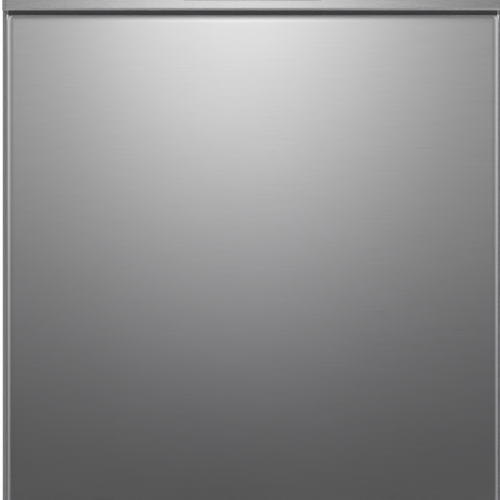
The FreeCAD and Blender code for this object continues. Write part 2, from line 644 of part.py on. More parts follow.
def make_button(name, centre):
    cap = block(name + "_cap", control_range(centre, "button_width / 2"),
                ("-depth / 2", FLANGE_FRONT), control_range(CONTROL_LINE, "button_height / 2"))
    flange = block(name + "_flange", control_range(centre, "(button_width / 2 + button_lip)"),
                   (FLANGE_FRONT, FLANGE_BACK),
                   control_range(CONTROL_LINE, "(button_height / 2 + button_lip)"))
    return join(name, cap, flange)


def make_control_module():
    foot = f"({CONTROL_LINE} - module_height / 2)"
    top = f"({CONTROL_LINE} + module_height / 2)"
    parts = [block("module_case", (MODULE_LEFT, MODULE_RIGHT),
                   (MODULE_FRONT, f"{MODULE_FRONT} + module_depth"), (foot, top))]
    for side, edge in (("left", MODULE_LEFT), ("right", f"({MODULE_RIGHT} - post_size)")):
        for level, low in (("foot", foot), ("top", f"({top} - post_size)")):
            parts.append(block(f"module_post_{side}_{level}", (edge, f"{edge} + post_size"),
                               (FASCIA_BACK, MODULE_FRONT), (low, f"{low} + post_size")))
    return join("control_module", *parts)


# Dispenser in the inner panel

BEZEL_FACE = f"({INNER_FACE} + dispenser_proud)"
CUP_LEFT = "(cup_margin / 2)"
CUP_RIGHT = f"({CUP_LEFT} + cup_width)"
CUP_FOOT = "(dispenser_foot + cup_margin)"
CUP_TOP = f"({CUP_FOOT} + cup_height)"
LID_BACK = f"({BEZEL_FACE} + lid_clear)"
LID_FACE = f"({LID_BACK} + lid_thickness)"
LID_LEFT = f"({CUP_LEFT} - lid_lap)"
LID_RIGHT = f"({CUP_RIGHT} + lid_lap)"
LID_FOOT = f"({CUP_FOOT} - lid_lap)"
LID_TOP = f"({CUP_TOP} + lid_lap)"
CAP_X = f"(-{DISPENSER_HALF} / 2)"
CAP_Z = "(dispenser_foot + dispenser_height / 2)"


def make_dispenser_body():
    levels = ("dispenser_foot", DISPENSER_TOP)
    sunk = block("dispenser_sunk", both(DISPENSER_HALF), (f"{INNER_FACE} - dispenser_sink", INNER_FACE),
                 levels)
    bezel = block("dispenser_bezel", both(f"{DISPENSER_HALF} + cup_margin"), (INNER_FACE, BEZEL_FACE),
                  ("dispenser_foot - cup_margin", f"{DISPENSER_TOP} + cup_margin"))
    height = (LID_FOOT, f"{LID_TOP} + lid_travel")
    over = f"({LID_FACE} + lid_clear)"
    left = (f"{LID_LEFT} - lid_clear - guide_size", f"{LID_LEFT} - lid_clear")
    right = (f"{LID_RIGHT} + lid_clear", f"{LID_RIGHT} + lid_clear + guide_size")
    lips = {"left": (left[0], f"{LID_LEFT} + lid_lap / 2"), "right": (f"{LID_RIGHT} - lid_lap / 2", right[1])}
    guides = []
    for side, rail in (("left", left), ("right", right)):
        guides.append(block(f"lid_guide_{side}", rail, (BEZEL_FACE, over), height))
        guides.append(block(f"lid_lip_{side}", lips[side], (over, f"{over} + guide_size / 2"), height))
    cup = block("detergent_cup", (CUP_LEFT, CUP_RIGHT),
                (f"{INNER_FACE} - dispenser_sink + dispenser_wall", f"{BEZEL_FACE} + dispenser_wall"),
                (CUP_FOOT, CUP_TOP))
    neck = rod("rinse_neck", "y", (CAP_X, CAP_Z), "cap_neck_radius + cap_clear",
               (f"{BEZEL_FACE} - cap_neck - lid_clear", f"{BEZEL_FACE} + dispenser_wall"))
    return cut("dispenser_body", join("dispenser_blank", sunk, bezel, *guides), cup, neck)


def make_dispenser_lid():
    return block("dispenser_lid", (LID_LEFT, LID_RIGHT), (LID_BACK, LID_FACE), (LID_FOOT, LID_TOP))


def make_rinse_aid_cap():
    outline = [("0", "-cap_neck"), ("cap_neck_radius", "-cap_neck"), ("cap_neck_radius", "lid_clear"),
               ("cap_radius", "lid_clear"), ("cap_radius", "cap_height"), ("0", "cap_height")]
    return turned("rinse_aid_cap", outline, (CAP_X, BEZEL_FACE, CAP_Z), "y")


# Racks: baskets of flat grilles with their running gear

RACK_FRONT = f"({INNER_FACE} + rack_gap)"
RACK_REAR = f"({TUB_BACK_INNER} - rack_rear_gap)"
LOWER_HALF = f"({TUB_INNER} - rack_side_gap - axle_head - wheel_width - 2 * wheel_play)"
LOWER_DECK = "(lower_floor + wire)"
LOWER_TOP = f"({LOWER_DECK} + lower_wall)"
WHEEL_Z = "(ledge_height + roll_clear + wheel_radius)"
FRONT_WHEEL_Y = f"({RACK_FRONT} + wheel_inset)"
REAR_WHEEL_Y = f"({RACK_REAR} - wheel_rear_inset)"
RAIL_OUT = f"({TUB_INNER} - rail_wall_gap)"
CHANNEL = "(roller_width + 2 * wheel_play)"
WEB_OUT = f"({RAIL_OUT} - {CHANNEL})"
WEB_IN = f"({WEB_OUT} - rail_wall)"
RAIL_IN = f"({WEB_IN} - {CHANNEL})"
UPPER_HALF = f"({RAIL_IN} - rack_clear)"
UPPER_DECK = "(upper_floor + wire)"
UPPER_TOP = f"({UPPER_DECK} + upper_wall)"
RAIL_REAR = f"({RACK_REAR} - rail_end_gap)"
ROLLER_YS = {"front": f"({RACK_FRONT} + roller_front)",
             "rear": f"({RACK_FRONT} + roller_front + roller_pitch)"}
RACK_WHEEL_YS = {"front": f"({RACK_FRONT} + rack_wheel_front)",
                 "rear": f"({RACK_REAR} - rack_wheel_rear)"}


def grille(name, normal, u, v, span):
    """Flat grille: a plate between two levels with a grid of gaps one wire apart."""
    low_u, high_u, low_v, high_v, low, high = (value(text) for text in (*u, *v, *span))
    bar = value("wire")
    point = {"z": lambda a, b: (a, b, low), "y": lambda a, b: (a, low, b),
             "x": lambda a, b: (low, a, b)}[normal]

    def ring(a, b, c, d):
        corners = [FreeCAD.Vector(*point(*corner)) for corner in ((a, c), (b, c), (b, d), (a, d), (a, c))]
        return Part.makePolygon(corners)

    def gaps(start, end):
        count = max(1, round((end - start - bar) / value("mesh")))
        step = (end - start - bar) / count
        return [(start + bar + index * step, start + (index + 1) * step) for index in range(count)]

    wires = [ring(low_u, high_u, low_v, high_v)]
    wires += [ring(*across, *along) for across in gaps(low_u, high_u) for along in gaps(low_v, high_v)]
    face = Part.makeFace(Part.makeCompound(wires), "Part::FaceMakerBullseye")
    item = doc.addObject("Part::Feature", name)
    item.Shape = face.extrude(FreeCAD.Vector(*(high - low if axis == normal else 0 for axis in "xyz")))
    return item


def basket(name, half, floor, deck, top):
    """Floor, front and rear of a basket, and its right wall, which stand face to face."""
    inner = (f"{RACK_FRONT} + wire", f"{RACK_REAR} - wire")
    ends = [
        grille(name + "_floor", "z", both(half), (RACK_FRONT, RACK_REAR), (floor, deck)),
        grille(name + "_front", "y", both(half), (deck, top), (RACK_FRONT, inner[0])),
        grille(name + "_rear", "y", both(half), (deck, top), (inner[1], RACK_REAR)),
    ]
    return ends, grille(name + "_right", "x", inner, (deck, top), (f"{half} - wire", half))


def wheel_pair(name, radius, width, inner_face, y, z):
    """Left and right wheel on one line, each with a running fit on its axle."""
    bore = "(axle_radius + axle_clear)"
    outline = [(bore, "0"), (radius, "0"), (radius, width), (bore, width)]
    return pair(name, turned(name + "_wheel", outline, (inner_face, y, z), "x"))


CUTLERY_RIGHT = f"({LOWER_HALF} - wire - cutlery_margin)"
CUTLERY_LEFT = f"({CUTLERY_RIGHT} - cutlery_width)"
COMB_ENDS = (f"(tine_margin - {LOWER_HALF})", f"({CUTLERY_LEFT} - tine_gap)")
TINE_PITCH = f"(({COMB_ENDS[1]} - {COMB_ENDS[0]}) / tine_count)"
FOLD_Z = f"({LOWER_DECK} + tine_rise)"
FOLD_ENDS = (f"{COMB_ENDS[0]} - bearing_width", f"{COMB_ENDS[1]} + bearing_width")


def comb(name, y, foot):
    """Upright tines in a row along X."""
    start = f"{COMB_ENDS[0]} + {TINE_PITCH} / 2"
    return [rod(f"{name}_tine_{index}", "z", (f"{start} + {index} * {TINE_PITCH}", y), "wire / 2",
                (foot, f"{foot} + tine_height")) for index in range(int(value("tine_count")))]


def make_lower_rack():
    pieces, wall = basket("lower_basket", LOWER_HALF, "lower_floor", LOWER_DECK, LOWER_TOP)
    pieces += [wall, mirrored("lower_basket_left", wall)]
    for place_name, y in (("front", FRONT_WHEEL_Y), ("rear", REAR_WHEEL_Y)):
        tab = block(f"axle_tab_{place_name}", (f"{LOWER_HALF} - wire", LOWER_HALF),
                    (f"{y} - tab_half", f"{y} + tab_half"), (f"{WHEEL_Z} - tab_half", "lower_floor"))
        head_foot = f"({LOWER_HALF} + wheel_width + 2 * wheel_play)"
        axle = rod(f"axle_{place_name}", "x", (y, WHEEL_Z), "axle_radius",
                   (f"{LOWER_HALF} - wire", head_foot))
        head = rod(f"axle_head_{place_name}", "x", (y, WHEEL_Z), "axle_head_radius",
                   (head_foot, f"{head_foot} + axle_head"))
        carrier = join(f"carrier_{place_name}", tab, axle, head)
        pieces += [carrier, mirrored(f"carrier_{place_name}_mirror", carrier)]
    for index in range(2):
        y = f"(fixed_row + {index} * fixed_row_pitch)"
        bar = block(f"fixed_bar_{index}", COMB_ENDS, (f"{y} - wire / 2", f"{y} + wire / 2"),
                    (LOWER_DECK, f"{LOWER_DECK} + wire"))
        pieces.append(join(f"fixed_tines_{index}", bar, *comb(f"fixed_{index}", y, LOWER_DECK)))
    for side, low in (("left", FOLD_ENDS[0]), ("right", COMB_ENDS[1])):
        seat = block(f"fold_seat_{side}", (low, f"{low} + bearing_width"),
                     ("-fold_row - bearing_half", "-fold_row + bearing_half"),
                     (LOWER_DECK, f"{FOLD_Z} + bearing_half"))
        strip = block(f"fold_strip_{side}", (low, f"{low} + bearing_width"),
                      ("-fold_row - mesh", "-fold_row + mesh"), (LOWER_DECK, f"{LOWER_DECK} + wire / 2"))
        bore = rod(f"fold_bore_{side}", "x", ("-fold_row", FOLD_Z), "wire / 2 + axle_clear",
                   (f"{low} - bearing_width", f"{low} + 2 * bearing_width"))
        pieces.append(cut(f"fold_bearing_{side}", join(f"fold_blank_{side}", seat, strip), bore))
    return bundle("lower_rack", *pieces)


def make_folding_tines():
    base = rod("fold_rod", "x", ("-fold_row", FOLD_Z), "wire / 2", FOLD_ENDS)
    return join("folding_tines", base, *comb("fold", "-fold_row", FOLD_Z))


def make_cutlery_basket():
    outer = block("cutlery_outer", (CUTLERY_LEFT, CUTLERY_RIGHT), both("cutlery_length / 2"),
                  (LOWER_DECK, f"{LOWER_DECK} + cutlery_height"))
    count = int(value("cutlery_cells"))
    cell = "((cutlery_length - cutlery_wall) / cutlery_cells)"
    across = (f"{CUTLERY_LEFT} + cutlery_wall", f"{CUTLERY_RIGHT} - cutlery_wall")
    cells = [block(f"cutlery_cell_{index}", across,
                   (f"-cutlery_length / 2 + cutlery_wall + {index} * {cell}",
                    f"-cutlery_length / 2 + ({index} + 1) * {cell}"),
                   (f"{LOWER_DECK} + cutlery_wall", f"{LOWER_DECK} + cutlery_height + cutlery_wall"))
             for index in range(count)]
    return cut("cutlery_basket", outer, *cells)


SHELF_X = f"({UPPER_HALF} - wire - shelf_axis)"
SHELF_Z = f"({UPPER_DECK} + shelf_height)"
SHELF_HALF = "(shelf_length / 2)"
MANIFOLD_FOOT = "(upper_floor - manifold_height)"
UPPER_HUB_FOOT = f"({MANIFOLD_FOOT} - upper_hub_drop)"


def make_upper_rack():
    pieces, wall = basket("upper_basket", UPPER_HALF, "upper_floor", UPPER_DECK, UPPER_TOP)
    side = [wall, rod("shelf_rod", "y", (SHELF_X, SHELF_Z), "wire / 2", both(SHELF_HALF))]
    for place_name, y in RACK_WHEEL_YS.items():
        side.append(rod(f"rack_axle_{place_name}", "x", (y, "rail_height"), "axle_radius",
                        (f"{UPPER_HALF} - wire", f"{WEB_IN} - wheel_play")))
        side.append(block(f"rack_axle_seat_{place_name}", (f"{UPPER_HALF} - wire", UPPER_HALF),
                          (f"{y} - tab_half", f"{y} + tab_half"), (UPPER_DECK, "rail_height + tab_half")))
    for index, ends in enumerate(((f"-{SHELF_HALF} - eye_length", f"-{SHELF_HALF}"),
                                  (SHELF_HALF, f"{SHELF_HALF} + eye_length"))):
        side.append(block(f"shelf_post_{index}", (f"{SHELF_X} - eye_half", UPPER_HALF), ends,
                          (UPPER_DECK, f"{SHELF_Z} + eye_half")))
    side = join("upper_basket_side", *side)
    manifold = block("manifold", both("spigot_radius"), ("-hub_radius", RACK_REAR),
                     (MANIFOLD_FOOT, "upper_floor"))
    hub = rod("upper_hub", "z", ("0", "0"), "hub_radius", (UPPER_HUB_FOOT, MANIFOLD_FOOT))
    spigot = rod("upper_spigot", "z", ("0", "0"), "spigot_radius",
                 (f"{UPPER_HUB_FOOT} - spigot_height", UPPER_HUB_FOOT))
    pieces += [side, mirrored("upper_basket_left", side), join("upper_feed", manifold, hub, spigot)]
    return bundle("upper_rack", *pieces)


def make_cup_shelf():
    ends = both(f"{SHELF_HALF} - shelf_play")
    plate = grille("shelf_grille", "z", (f"{SHELF_X} - shelf_reach", f"{SHELF_X} - eye_half"), ends,
                   (f"{SHELF_Z} - shelf_plate / 2", f"{SHELF_Z} + shelf_plate / 2"))
    eyes = [block(f"shelf_eye_{index}", (f"{SHELF_X} - eye_half", f"{SHELF_X} + eye_half"), span,
                  (f"{SHELF_Z} - eye_half", f"{SHELF_Z} + eye_half"))
            for index, span in enumerate(((ends[0], f"{ends[0]} + eye_length"),
                                          (f"{ends[1]} - eye_length", ends[1])))]
    bore = rod("shelf_bore", "y", (SHELF_X, SHELF_Z), "wire / 2 + axle_clear", both(SHELF_HALF))
    return cut("cup_shelf_right", join("shelf_blank", plate, *eyes), bore)


def make_upper_rails():
    half = "(roller_radius + roller_clear)"
    low, high = f"(rail_height - {half})", f"(rail_height + {half})"
    foot, top = f"({low} - rail_wall)", f"({high} + rail_wall)"
    points = [(RAIL_IN, foot), (RAIL_OUT, foot), (RAIL_OUT, low), (WEB_OUT, low), (WEB_OUT, high),
              (RAIL_OUT, high), (RAIL_OUT, top), (RAIL_IN, top), (RAIL_IN, high), (WEB_IN, high),
              (WEB_IN, low), (RAIL_IN, low)]
    return pair("upper_rails", prism("upper_rail", "y", points, (RACK_FRONT, RAIL_REAR)))


def make_roller_studs():
    studs = []
    for name, y in ROLLER_YS.items():
        stud = rod(f"stud_{name}", "x", (y, "rail_height"), "axle_radius",
                   (f"{WEB_OUT} + wheel_play", TUB_INNER))
        studs += [stud, mirrored(f"stud_{name}_mirror", stud)]
    return studs


# Water path

def make_spray_arm(name, reach, low, bore_ends, bore_radius):
    """Tapered arm with a blind bore that runs on a spigot."""
    half, tip = "(arm_width / 2)", "(arm_tip / 2)"
    points = [(reach, f"-{tip}"), (reach, tip), (half, half), (f"-{half}", half), (f"-{reach}", tip),
              (f"-{reach}", f"-{tip}"), (f"-{half}", f"-{half}"), (half, f"-{half}")]
    arm = prism(name + "_blade", "z", points, (low, f"{low} + arm_thick"))
    return cut(name, arm, rod(name + "_bore", "z", ("0", "0"), bore_radius, bore_ends))


LOWER_ARM_FOOT = "(hub_top + spray_gap)"
UPPER_ARM_TOP = f"({UPPER_HUB_FOOT} - spray_gap)"
UPPER_ARM_FOOT = f"({UPPER_ARM_TOP} - arm_thick)"
SPIGOT_BORE = "spigot_radius + spray_clear"
ARM_REACH = f"min({PAN_HALF} - arm_side_gap; -{PAN_FRONT} - arm_front_gap)"
UPPER_ARM_REACH = f"({ARM_REACH} - upper_arm_less)"


def make_sump():
    cup = rod("sump_outer", "z", ("0", "0"), "sump_radius", ("sump_floor", PAN_FOOT))
    nose = "(sump_radius + nose_length)"
    noses = [rod("sump_nose_left", "x", ("0", "pump_height"), "nose_radius", (f"-{nose}", "0")),
             rod("sump_nose_right", "x", ("0", "pump_height"), "nose_radius", ("0", nose))]
    hollow = rod("sump_hollow", "z", ("0", "0"), SUMP_MOUTH, ("sump_floor + sump_wall", "pan_height"))
    shell = cut("sump_shell", join("sump_blank", cup, *noses), hollow)
    hub = rod("spray_hub", "z", ("0", "0"), "hub_radius", ("sump_floor", "hub_top"))
    spigot = rod("spray_spigot", "z", ("0", "0"), "spigot_radius", ("hub_top", "hub_top + spigot_height"))
    return join("sump", shell, hub, spigot)


FILTER_TOP = "(pan_height + filter_plate_gauge)"


def make_filter_plate():
    through = ("pan_height - filter_plate_gauge", f"{FILTER_TOP} + filter_plate_gauge")
    disc = rod("filter_disc", "z", ("0", "0"), "sump_radius + filter_rim", ("pan_height", FILTER_TOP))
    return cut("filter_plate", disc,
               rod("hub_hole", "z", ("0", "0"), "hub_radius + filter_clear", through),
               rod("cup_hole", "z", ("filter_offset", "0"), "filter_radius + filter_clear", through))


def make_filter_cup():
    rim, inside = "(filter_radius + filter_flange)", "(filter_radius - filter_wall)"
    top = "(filter_clear + filter_flange_height)"
    outline = [("0", "-filter_depth"), ("filter_radius", "-filter_depth"), ("filter_radius", "filter_clear"),
               (rim, "filter_clear"), (rim, top), (inside, top), (inside, "-filter_depth + filter_wall"),
               ("0", "-filter_depth + filter_wall")]
    cup = turned("filter_tube", outline, ("filter_offset", "0", FILTER_TOP))
    grip = block("filter_handle", ("filter_offset - filter_radius", "filter_offset + filter_radius"),
                 both("filter_grip_width / 2"),
                 (f"{FILTER_TOP} + filter_clear", f"{FILTER_TOP} + filter_grip"))
    return join("filter_cup", cup, grip)


PUMP_RIGHT = "(-sump_radius - nose_length)"
PUMP_LEFT = f"({PUMP_RIGHT} - pump_length)"


def make_circulation_pump():
    centre = ("0", "pump_height")
    can = rod("pump_can", "x", centre, "pump_radius", (PUMP_LEFT, PUMP_RIGHT))
    hollow = rod("pump_hollow", "x", centre, "pump_radius - pump_wall",
                 (f"{PUMP_LEFT} + pump_wall", f"{PUMP_RIGHT} - pump_wall"))
    bore = rod("pump_bore", "x", centre, "shaft_radius + shaft_clear", (PUMP_LEFT, PUMP_RIGHT))
    return cut("circulation_pump", can, hollow, bore)


def make_pump_impeller():
    centre = ("0", "pump_height")
    shaft = rod("pump_shaft", "x", centre, "shaft_radius",
                (f"{PUMP_LEFT} + shaft_end", f"{PUMP_RIGHT} - shaft_end"))
    end = f"({PUMP_RIGHT} - pump_wall - impeller_clear)"
    disc = rod("impeller_disc", "x", centre, "pump_radius - pump_wall - impeller_clear",
               (f"{end} - impeller_width", end))
    return join("pump_impeller", shaft, disc)


def make_drain_pump():
    start = "(sump_radius + nose_length)"
    return rod("drain_pump", "x", ("0", "pump_height"), "drain_radius", (start, f"{start} + drain_length"))


def make_heating_element():
    """Tube bent into a loop along the edge of the pan, on four clips."""
    x = f"({PAN_HALF} - element_margin)"
    front, rear = f"({PAN_FRONT} + element_margin)", f"({PAN_REAR} - element_margin)"
    level = "(pan_height + element_rise)"
    middle = f"(({front} + {rear}) / 2)"
    parts = [rod("element_front", "x", (front, level), "element_tube", both(x)),
             rod("element_rear", "x", (rear, level), "element_tube", both(x))]
    for side, line in (("left", f"-{x}"), ("right", x)):
        parts.append(rod(f"element_{side}", "y", (line, level), "element_tube", (front, rear)))
        for end, y in (("front", front), ("rear", rear)):
            bend = doc.addObject("Part::Sphere", f"bend_{side}_{end}")
            bend.setExpression("Radius", bound("element_tube"))
            place(bend, line, y, level)
            parts.append(bend)
    for name, line, y in (("right", x, middle), ("left", f"-{x}", middle), ("rear", "0", rear),
                          ("front", "0", front)):
        parts.append(block(f"clip_{name}", (f"{line} - clip_size / 2", f"{line} + clip_size / 2"),
                           (f"{y} - clip_size / 2", f"{y} + clip_size / 2"), ("pan_height", level)))
    return join("heating_element", *parts)


DUCT_FOOT = f"({CEILING_INNER} - duct_depth)"


def make_spray_feed_duct():
    half = both("duct_width / 2")
    front = f"({TUB_BACK_INNER} - duct_depth)"
    riser = block("duct_riser", half, (front, TUB_BACK_INNER), ("ledge_height", CEILING_INNER))
    run = block("duct_run", half, ("-duct_width / 2", TUB_BACK_INNER), (DUCT_FOOT, CEILING_INNER))
    nozzle = rod("duct_nozzle", "y", ("0", f"({MANIFOLD_FOOT} + upper_floor) / 2"), "manifold_height / 2",
                 (f"{RACK_REAR} + nozzle_gap", front))
    return join("spray_feed_duct", riser, run, nozzle)


def make_ceiling_spray_head():
    return turned("ceiling_spray_head", [("0", "-head_height"), ("head_radius / 2", "-head_height"),
                                         ("head_radius", "-head_height / 2"), ("head_radius", "0"),
                                         ("0", "0")], ("0", "0", DUCT_FOOT))


# Softener, valve, spigot, gland and air break

def make_softener_tank():
    edge = "(salt_radius + salt_neck)"
    tank = block("softener_box", (f"{SALT_X} + {edge} - softener_width", f"{SALT_X} + {edge}"),
                 (f"{BRACKET_FRONT} + softener_front_gap", SOFTENER_REAR), (TRAY_FLOOR, PAN_FOOT))
    neck = rod("salt_neck_tube", "z", (SALT_X, SALT_Y), "salt_radius", (PAN_FOOT, "pan_height + salt_neck"))
    bore = rod("salt_bore_hole", "z", (SALT_X, SALT_Y), "salt_bore + salt_clear",
               ("pan_height - 2 * salt_plug", "pan_height + 2 * salt_neck"))
    return cut("softener_tank", join("softener_blank", tank, neck), bore)


def make_salt_cap():
    outline = [("0", "-salt_plug"), ("salt_bore", "-salt_plug"), ("salt_bore", "salt_gap"),
               ("salt_cap_radius", "salt_gap"), ("salt_cap_radius", "salt_cap_height"),
               ("0", "salt_cap_height")]
    return turned("salt_cap", outline, (SALT_X, SALT_Y, "pan_height + salt_neck"))


VALVE_X = f"({SIDE_INNER} - valve_inset)"
DRAIN_X = f"(drain_inset - {SIDE_INNER})"
GLAND_X = f"(gland_inset - {SIDE_INNER})"


def service_block(name, x, width, nose_length):
    """Block on the tray floor whose nose ends flush with the tray's rear."""
    back = f"({TRAY_BACK} - {nose_length})"
    return back, block(name, (f"{x} - {width} / 2", f"{x} + {width} / 2"),
                       (f"{back} - valve_depth", back), (TRAY_FLOOR, "valve_height"))


def make_inlet_valve():
    back, case = service_block("valve_case", VALVE_X, "valve_width", "inlet_length")
    nose = rod("inlet_nose", "y", (VALVE_X, "service_rise"), "inlet_radius", (back, TRAY_BACK))
    return join("inlet_valve", case, nose)


def make_drain_spigot():
    back, case = service_block("drain_case", DRAIN_X, "valve_width", "drain_spigot_length")
    nose = rod("drain_nose", "y", (DRAIN_X, "service_rise"), "drain_spigot_radius", (back, TRAY_BACK))
    return join("drain_spigot", case, nose)


def make_mains_inlet():
    back, case = service_block("gland_case", GLAND_X, "gland_width", "gland_length")
    centre = (GLAND_X, "service_rise")
    nose = rod("gland_nose", "y", centre, "gland_radius + gland_wall", (back, TRAY_BACK))
    bore = rod("gland_bore", "y", centre, "gland_radius",
               (f"{back} - gland_length", f"{TRAY_BACK} + gland_wall"))
    return cut("mains_inlet", join("gland_blank", case, nose), bore)


def make_air_break_chamber():
    return block("air_break_chamber", (f"-{SIDE_INNER}", f"-{SIDE_INNER} + break_thickness"),
                 both("break_length / 2"), ("break_foot", "break_foot + break_height"))


# Assembly

right_shelf = make_cup_shelf()
tub = make_tub()
tub.Links = tub.Links + make_roller_studs()
NODES = [
    make_worktop(), make_side_panel("side_panel_left", -1), make_side_panel("side_panel_right", 1),
    make_rear_panel(), make_base_tray(), make_plinth(), make_levelling_feet(), make_top_rail(),
    make_case_screws(), tub, make_tub_gasket(), make_latch_strike(), make_hinge_brackets(),
    make_hinge_arms(), make_door_panel(), make_door_inner_panel(), make_door_seal(), make_door_lock(),
    make_door_screws(), make_fascia(), make_handle_pocket(), make_display_window(),
    make_control_module(), make_dispenser_body(), make_dispenser_lid(), make_rinse_aid_cap(),
    make_lower_rack(), make_folding_tines(), make_cutlery_basket(), make_upper_rack(), right_shelf,
    mirrored("cup_shelf_left", right_shelf), make_upper_rails(), make_sump(), make_filter_plate(),
    make_filter_cup(), make_circulation_pump(), make_pump_impeller(), make_drain_pump(),
    make_heating_element(), make_spray_feed_duct(), make_ceiling_spray_head(), make_softener_tank(),
    make_salt_cap(), make_inlet_valve(), make_drain_spigot(), make_mains_inlet(),
    make_air_break_chamber(),
    make_spray_arm("lower_spray_arm", ARM_REACH, LOWER_ARM_FOOT,
                   ("hub_top", "hub_top + spigot_height + 2 * spray_gap"), SPIGOT_BORE),
    make_spray_arm("upper_spray_arm", UPPER_ARM_REACH, UPPER_ARM_FOOT,
                   (f"{UPPER_HUB_FOOT} - spigot_height - 2 * spray_gap", UPPER_HUB_FOOT), SPIGOT_BORE),
]
NODES += [make_button(name, centre) for name, centre in BUTTONS.items()]
for place_name, line in (("front", FRONT_WHEEL_Y), ("rear", REAR_WHEEL_Y)):
    NODES.append(wheel_pair(f"lower_wheels_{place_name}", "wheel_radius", "wheel_width",
                            f"{LOWER_HALF} + wheel_play", line, WHEEL_Z))
for place_name, line in RACK_WHEEL_YS.items():
    NODES.append(wheel_pair(f"upper_wheels_{place_name}", "roller_radius", "roller_width",
                            f"{RAIL_IN} + wheel_play", line, "rail_height"))
for place_name, line in ROLLER_YS.items():
    NODES.append(wheel_pair(f"rail_rollers_{place_name}", "roller_radius", "roller_width",
                            f"{WEB_OUT} + wheel_play", line, "rail_height"))
doc.recompute()

for item in doc.Objects:
    faults = {"Invalid", "Error"} & set(item.State)
    if faults:
        raise RuntimeError(f"{item.Label}: {', '.join(sorted(faults))}")
for node in NODES:
    if node.Shape.isNull() or not node.Shape.isValid() or not node.Shape.Solids:
        raise RuntimeError(f"{node.Label} has no sound solid")

os.makedirs("parts", exist_ok=True)
for node in NODES:
    node.Shape.exportStep(os.path.join("parts", node.Label + ".step"))
print(len(NODES), "nodes,", sum(len(node.Shape.Solids) for node in NODES), "solids")
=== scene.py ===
"""Looks of a free-standing dishwasher with a brushed steel door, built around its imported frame."""
import bmesh
import bpy
import json
import math
from bpy.props import FloatProperty, FloatVectorProperty, IntProperty, PointerProperty
from mathutils import Matrix, Vector


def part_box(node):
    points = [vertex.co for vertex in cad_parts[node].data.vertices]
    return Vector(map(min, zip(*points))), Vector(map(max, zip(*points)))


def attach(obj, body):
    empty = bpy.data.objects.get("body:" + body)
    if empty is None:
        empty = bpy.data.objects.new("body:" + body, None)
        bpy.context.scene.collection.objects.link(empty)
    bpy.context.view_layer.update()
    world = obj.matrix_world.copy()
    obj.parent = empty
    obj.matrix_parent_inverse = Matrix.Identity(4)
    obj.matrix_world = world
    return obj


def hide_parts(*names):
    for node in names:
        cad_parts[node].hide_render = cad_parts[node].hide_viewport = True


bl_info = {
    "name": "Dishwasher",
    "version": (1, 0, 0),
    "blender": (4, 5, 0),
    "location": "View3D > Sidebar > Dishwasher",
    "description": "Door, racks, spray arms and finishes of a free-standing dishwasher",
    "category": "Object",
}

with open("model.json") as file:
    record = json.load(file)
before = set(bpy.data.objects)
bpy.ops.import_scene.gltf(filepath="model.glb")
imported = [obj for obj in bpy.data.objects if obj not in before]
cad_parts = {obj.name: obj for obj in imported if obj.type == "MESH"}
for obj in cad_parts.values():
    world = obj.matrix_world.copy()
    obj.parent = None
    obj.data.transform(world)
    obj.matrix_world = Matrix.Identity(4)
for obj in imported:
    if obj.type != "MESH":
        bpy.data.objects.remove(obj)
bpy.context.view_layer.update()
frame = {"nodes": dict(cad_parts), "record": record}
SLOT_OF = {part["node"]: part["material_slot"] for part in frame["record"]["subparts"]}
FINISHES = {}
SIDES = (-1, 1)
NEAR_BLACK = (0.02, 0.02, 0.02, 1.0)
SHARP = math.radians(38.0)


# Sizes and colours

def length(name, description, default):
    return FloatProperty(name=name, description=description, default=default, unit="LENGTH",
                         precision=5)


def number(name, description, default):
    return FloatProperty(name=name, description=description, default=default, min=0.0, precision=3)


def colour(name, description, default):
    return FloatVectorProperty(name=name, description=description, default=default, subtype="COLOR",
                               size=3, min=0.0, max=1.0)


class DoorSizes(bpy.types.PropertyGroup):
    """Edges of the door's steel skin and marks on its controls."""
    side_round: length("Side round", "Width of the skin's rounded side edges", 0.0085)
    top_round: length("Top round", "Height of the skin's rounded top and foot", 0.0092)
    shallow: number("Shallow", "Depth of a rounded edge as a share of its width", 0.45)
    skin: length("Skin", "Thickness of the door's sheet", 0.001)
    mark: length("Mark", "How far printed marks stand proud", 0.00008)
    lamp_radius: length("Lamp radius", "Radius of an indicator lamp", 0.0011)


class RackSizes(bpy.types.PropertyGroup):
    """Wire, mesh and tines of both racks."""
    wire: length("Wire", "Radius of the baskets' wires", 0.0019)
    rim: length("Rim", "Radius of the baskets' rim wires", 0.0026)
    bend: length("Bend", "Radius of the wires' bends", 0.016)
    mesh: length("Mesh", "Distance between wires", 0.040)
    tine: length("Tine", "Radius of a tine", 0.0019)
    lattice: length("Lattice", "Distance between the bars of the cutlery basket", 0.0124)
    sides: IntProperty(name="Sides", description="Sides of a wire's section", default=8, min=6,
                       max=24)


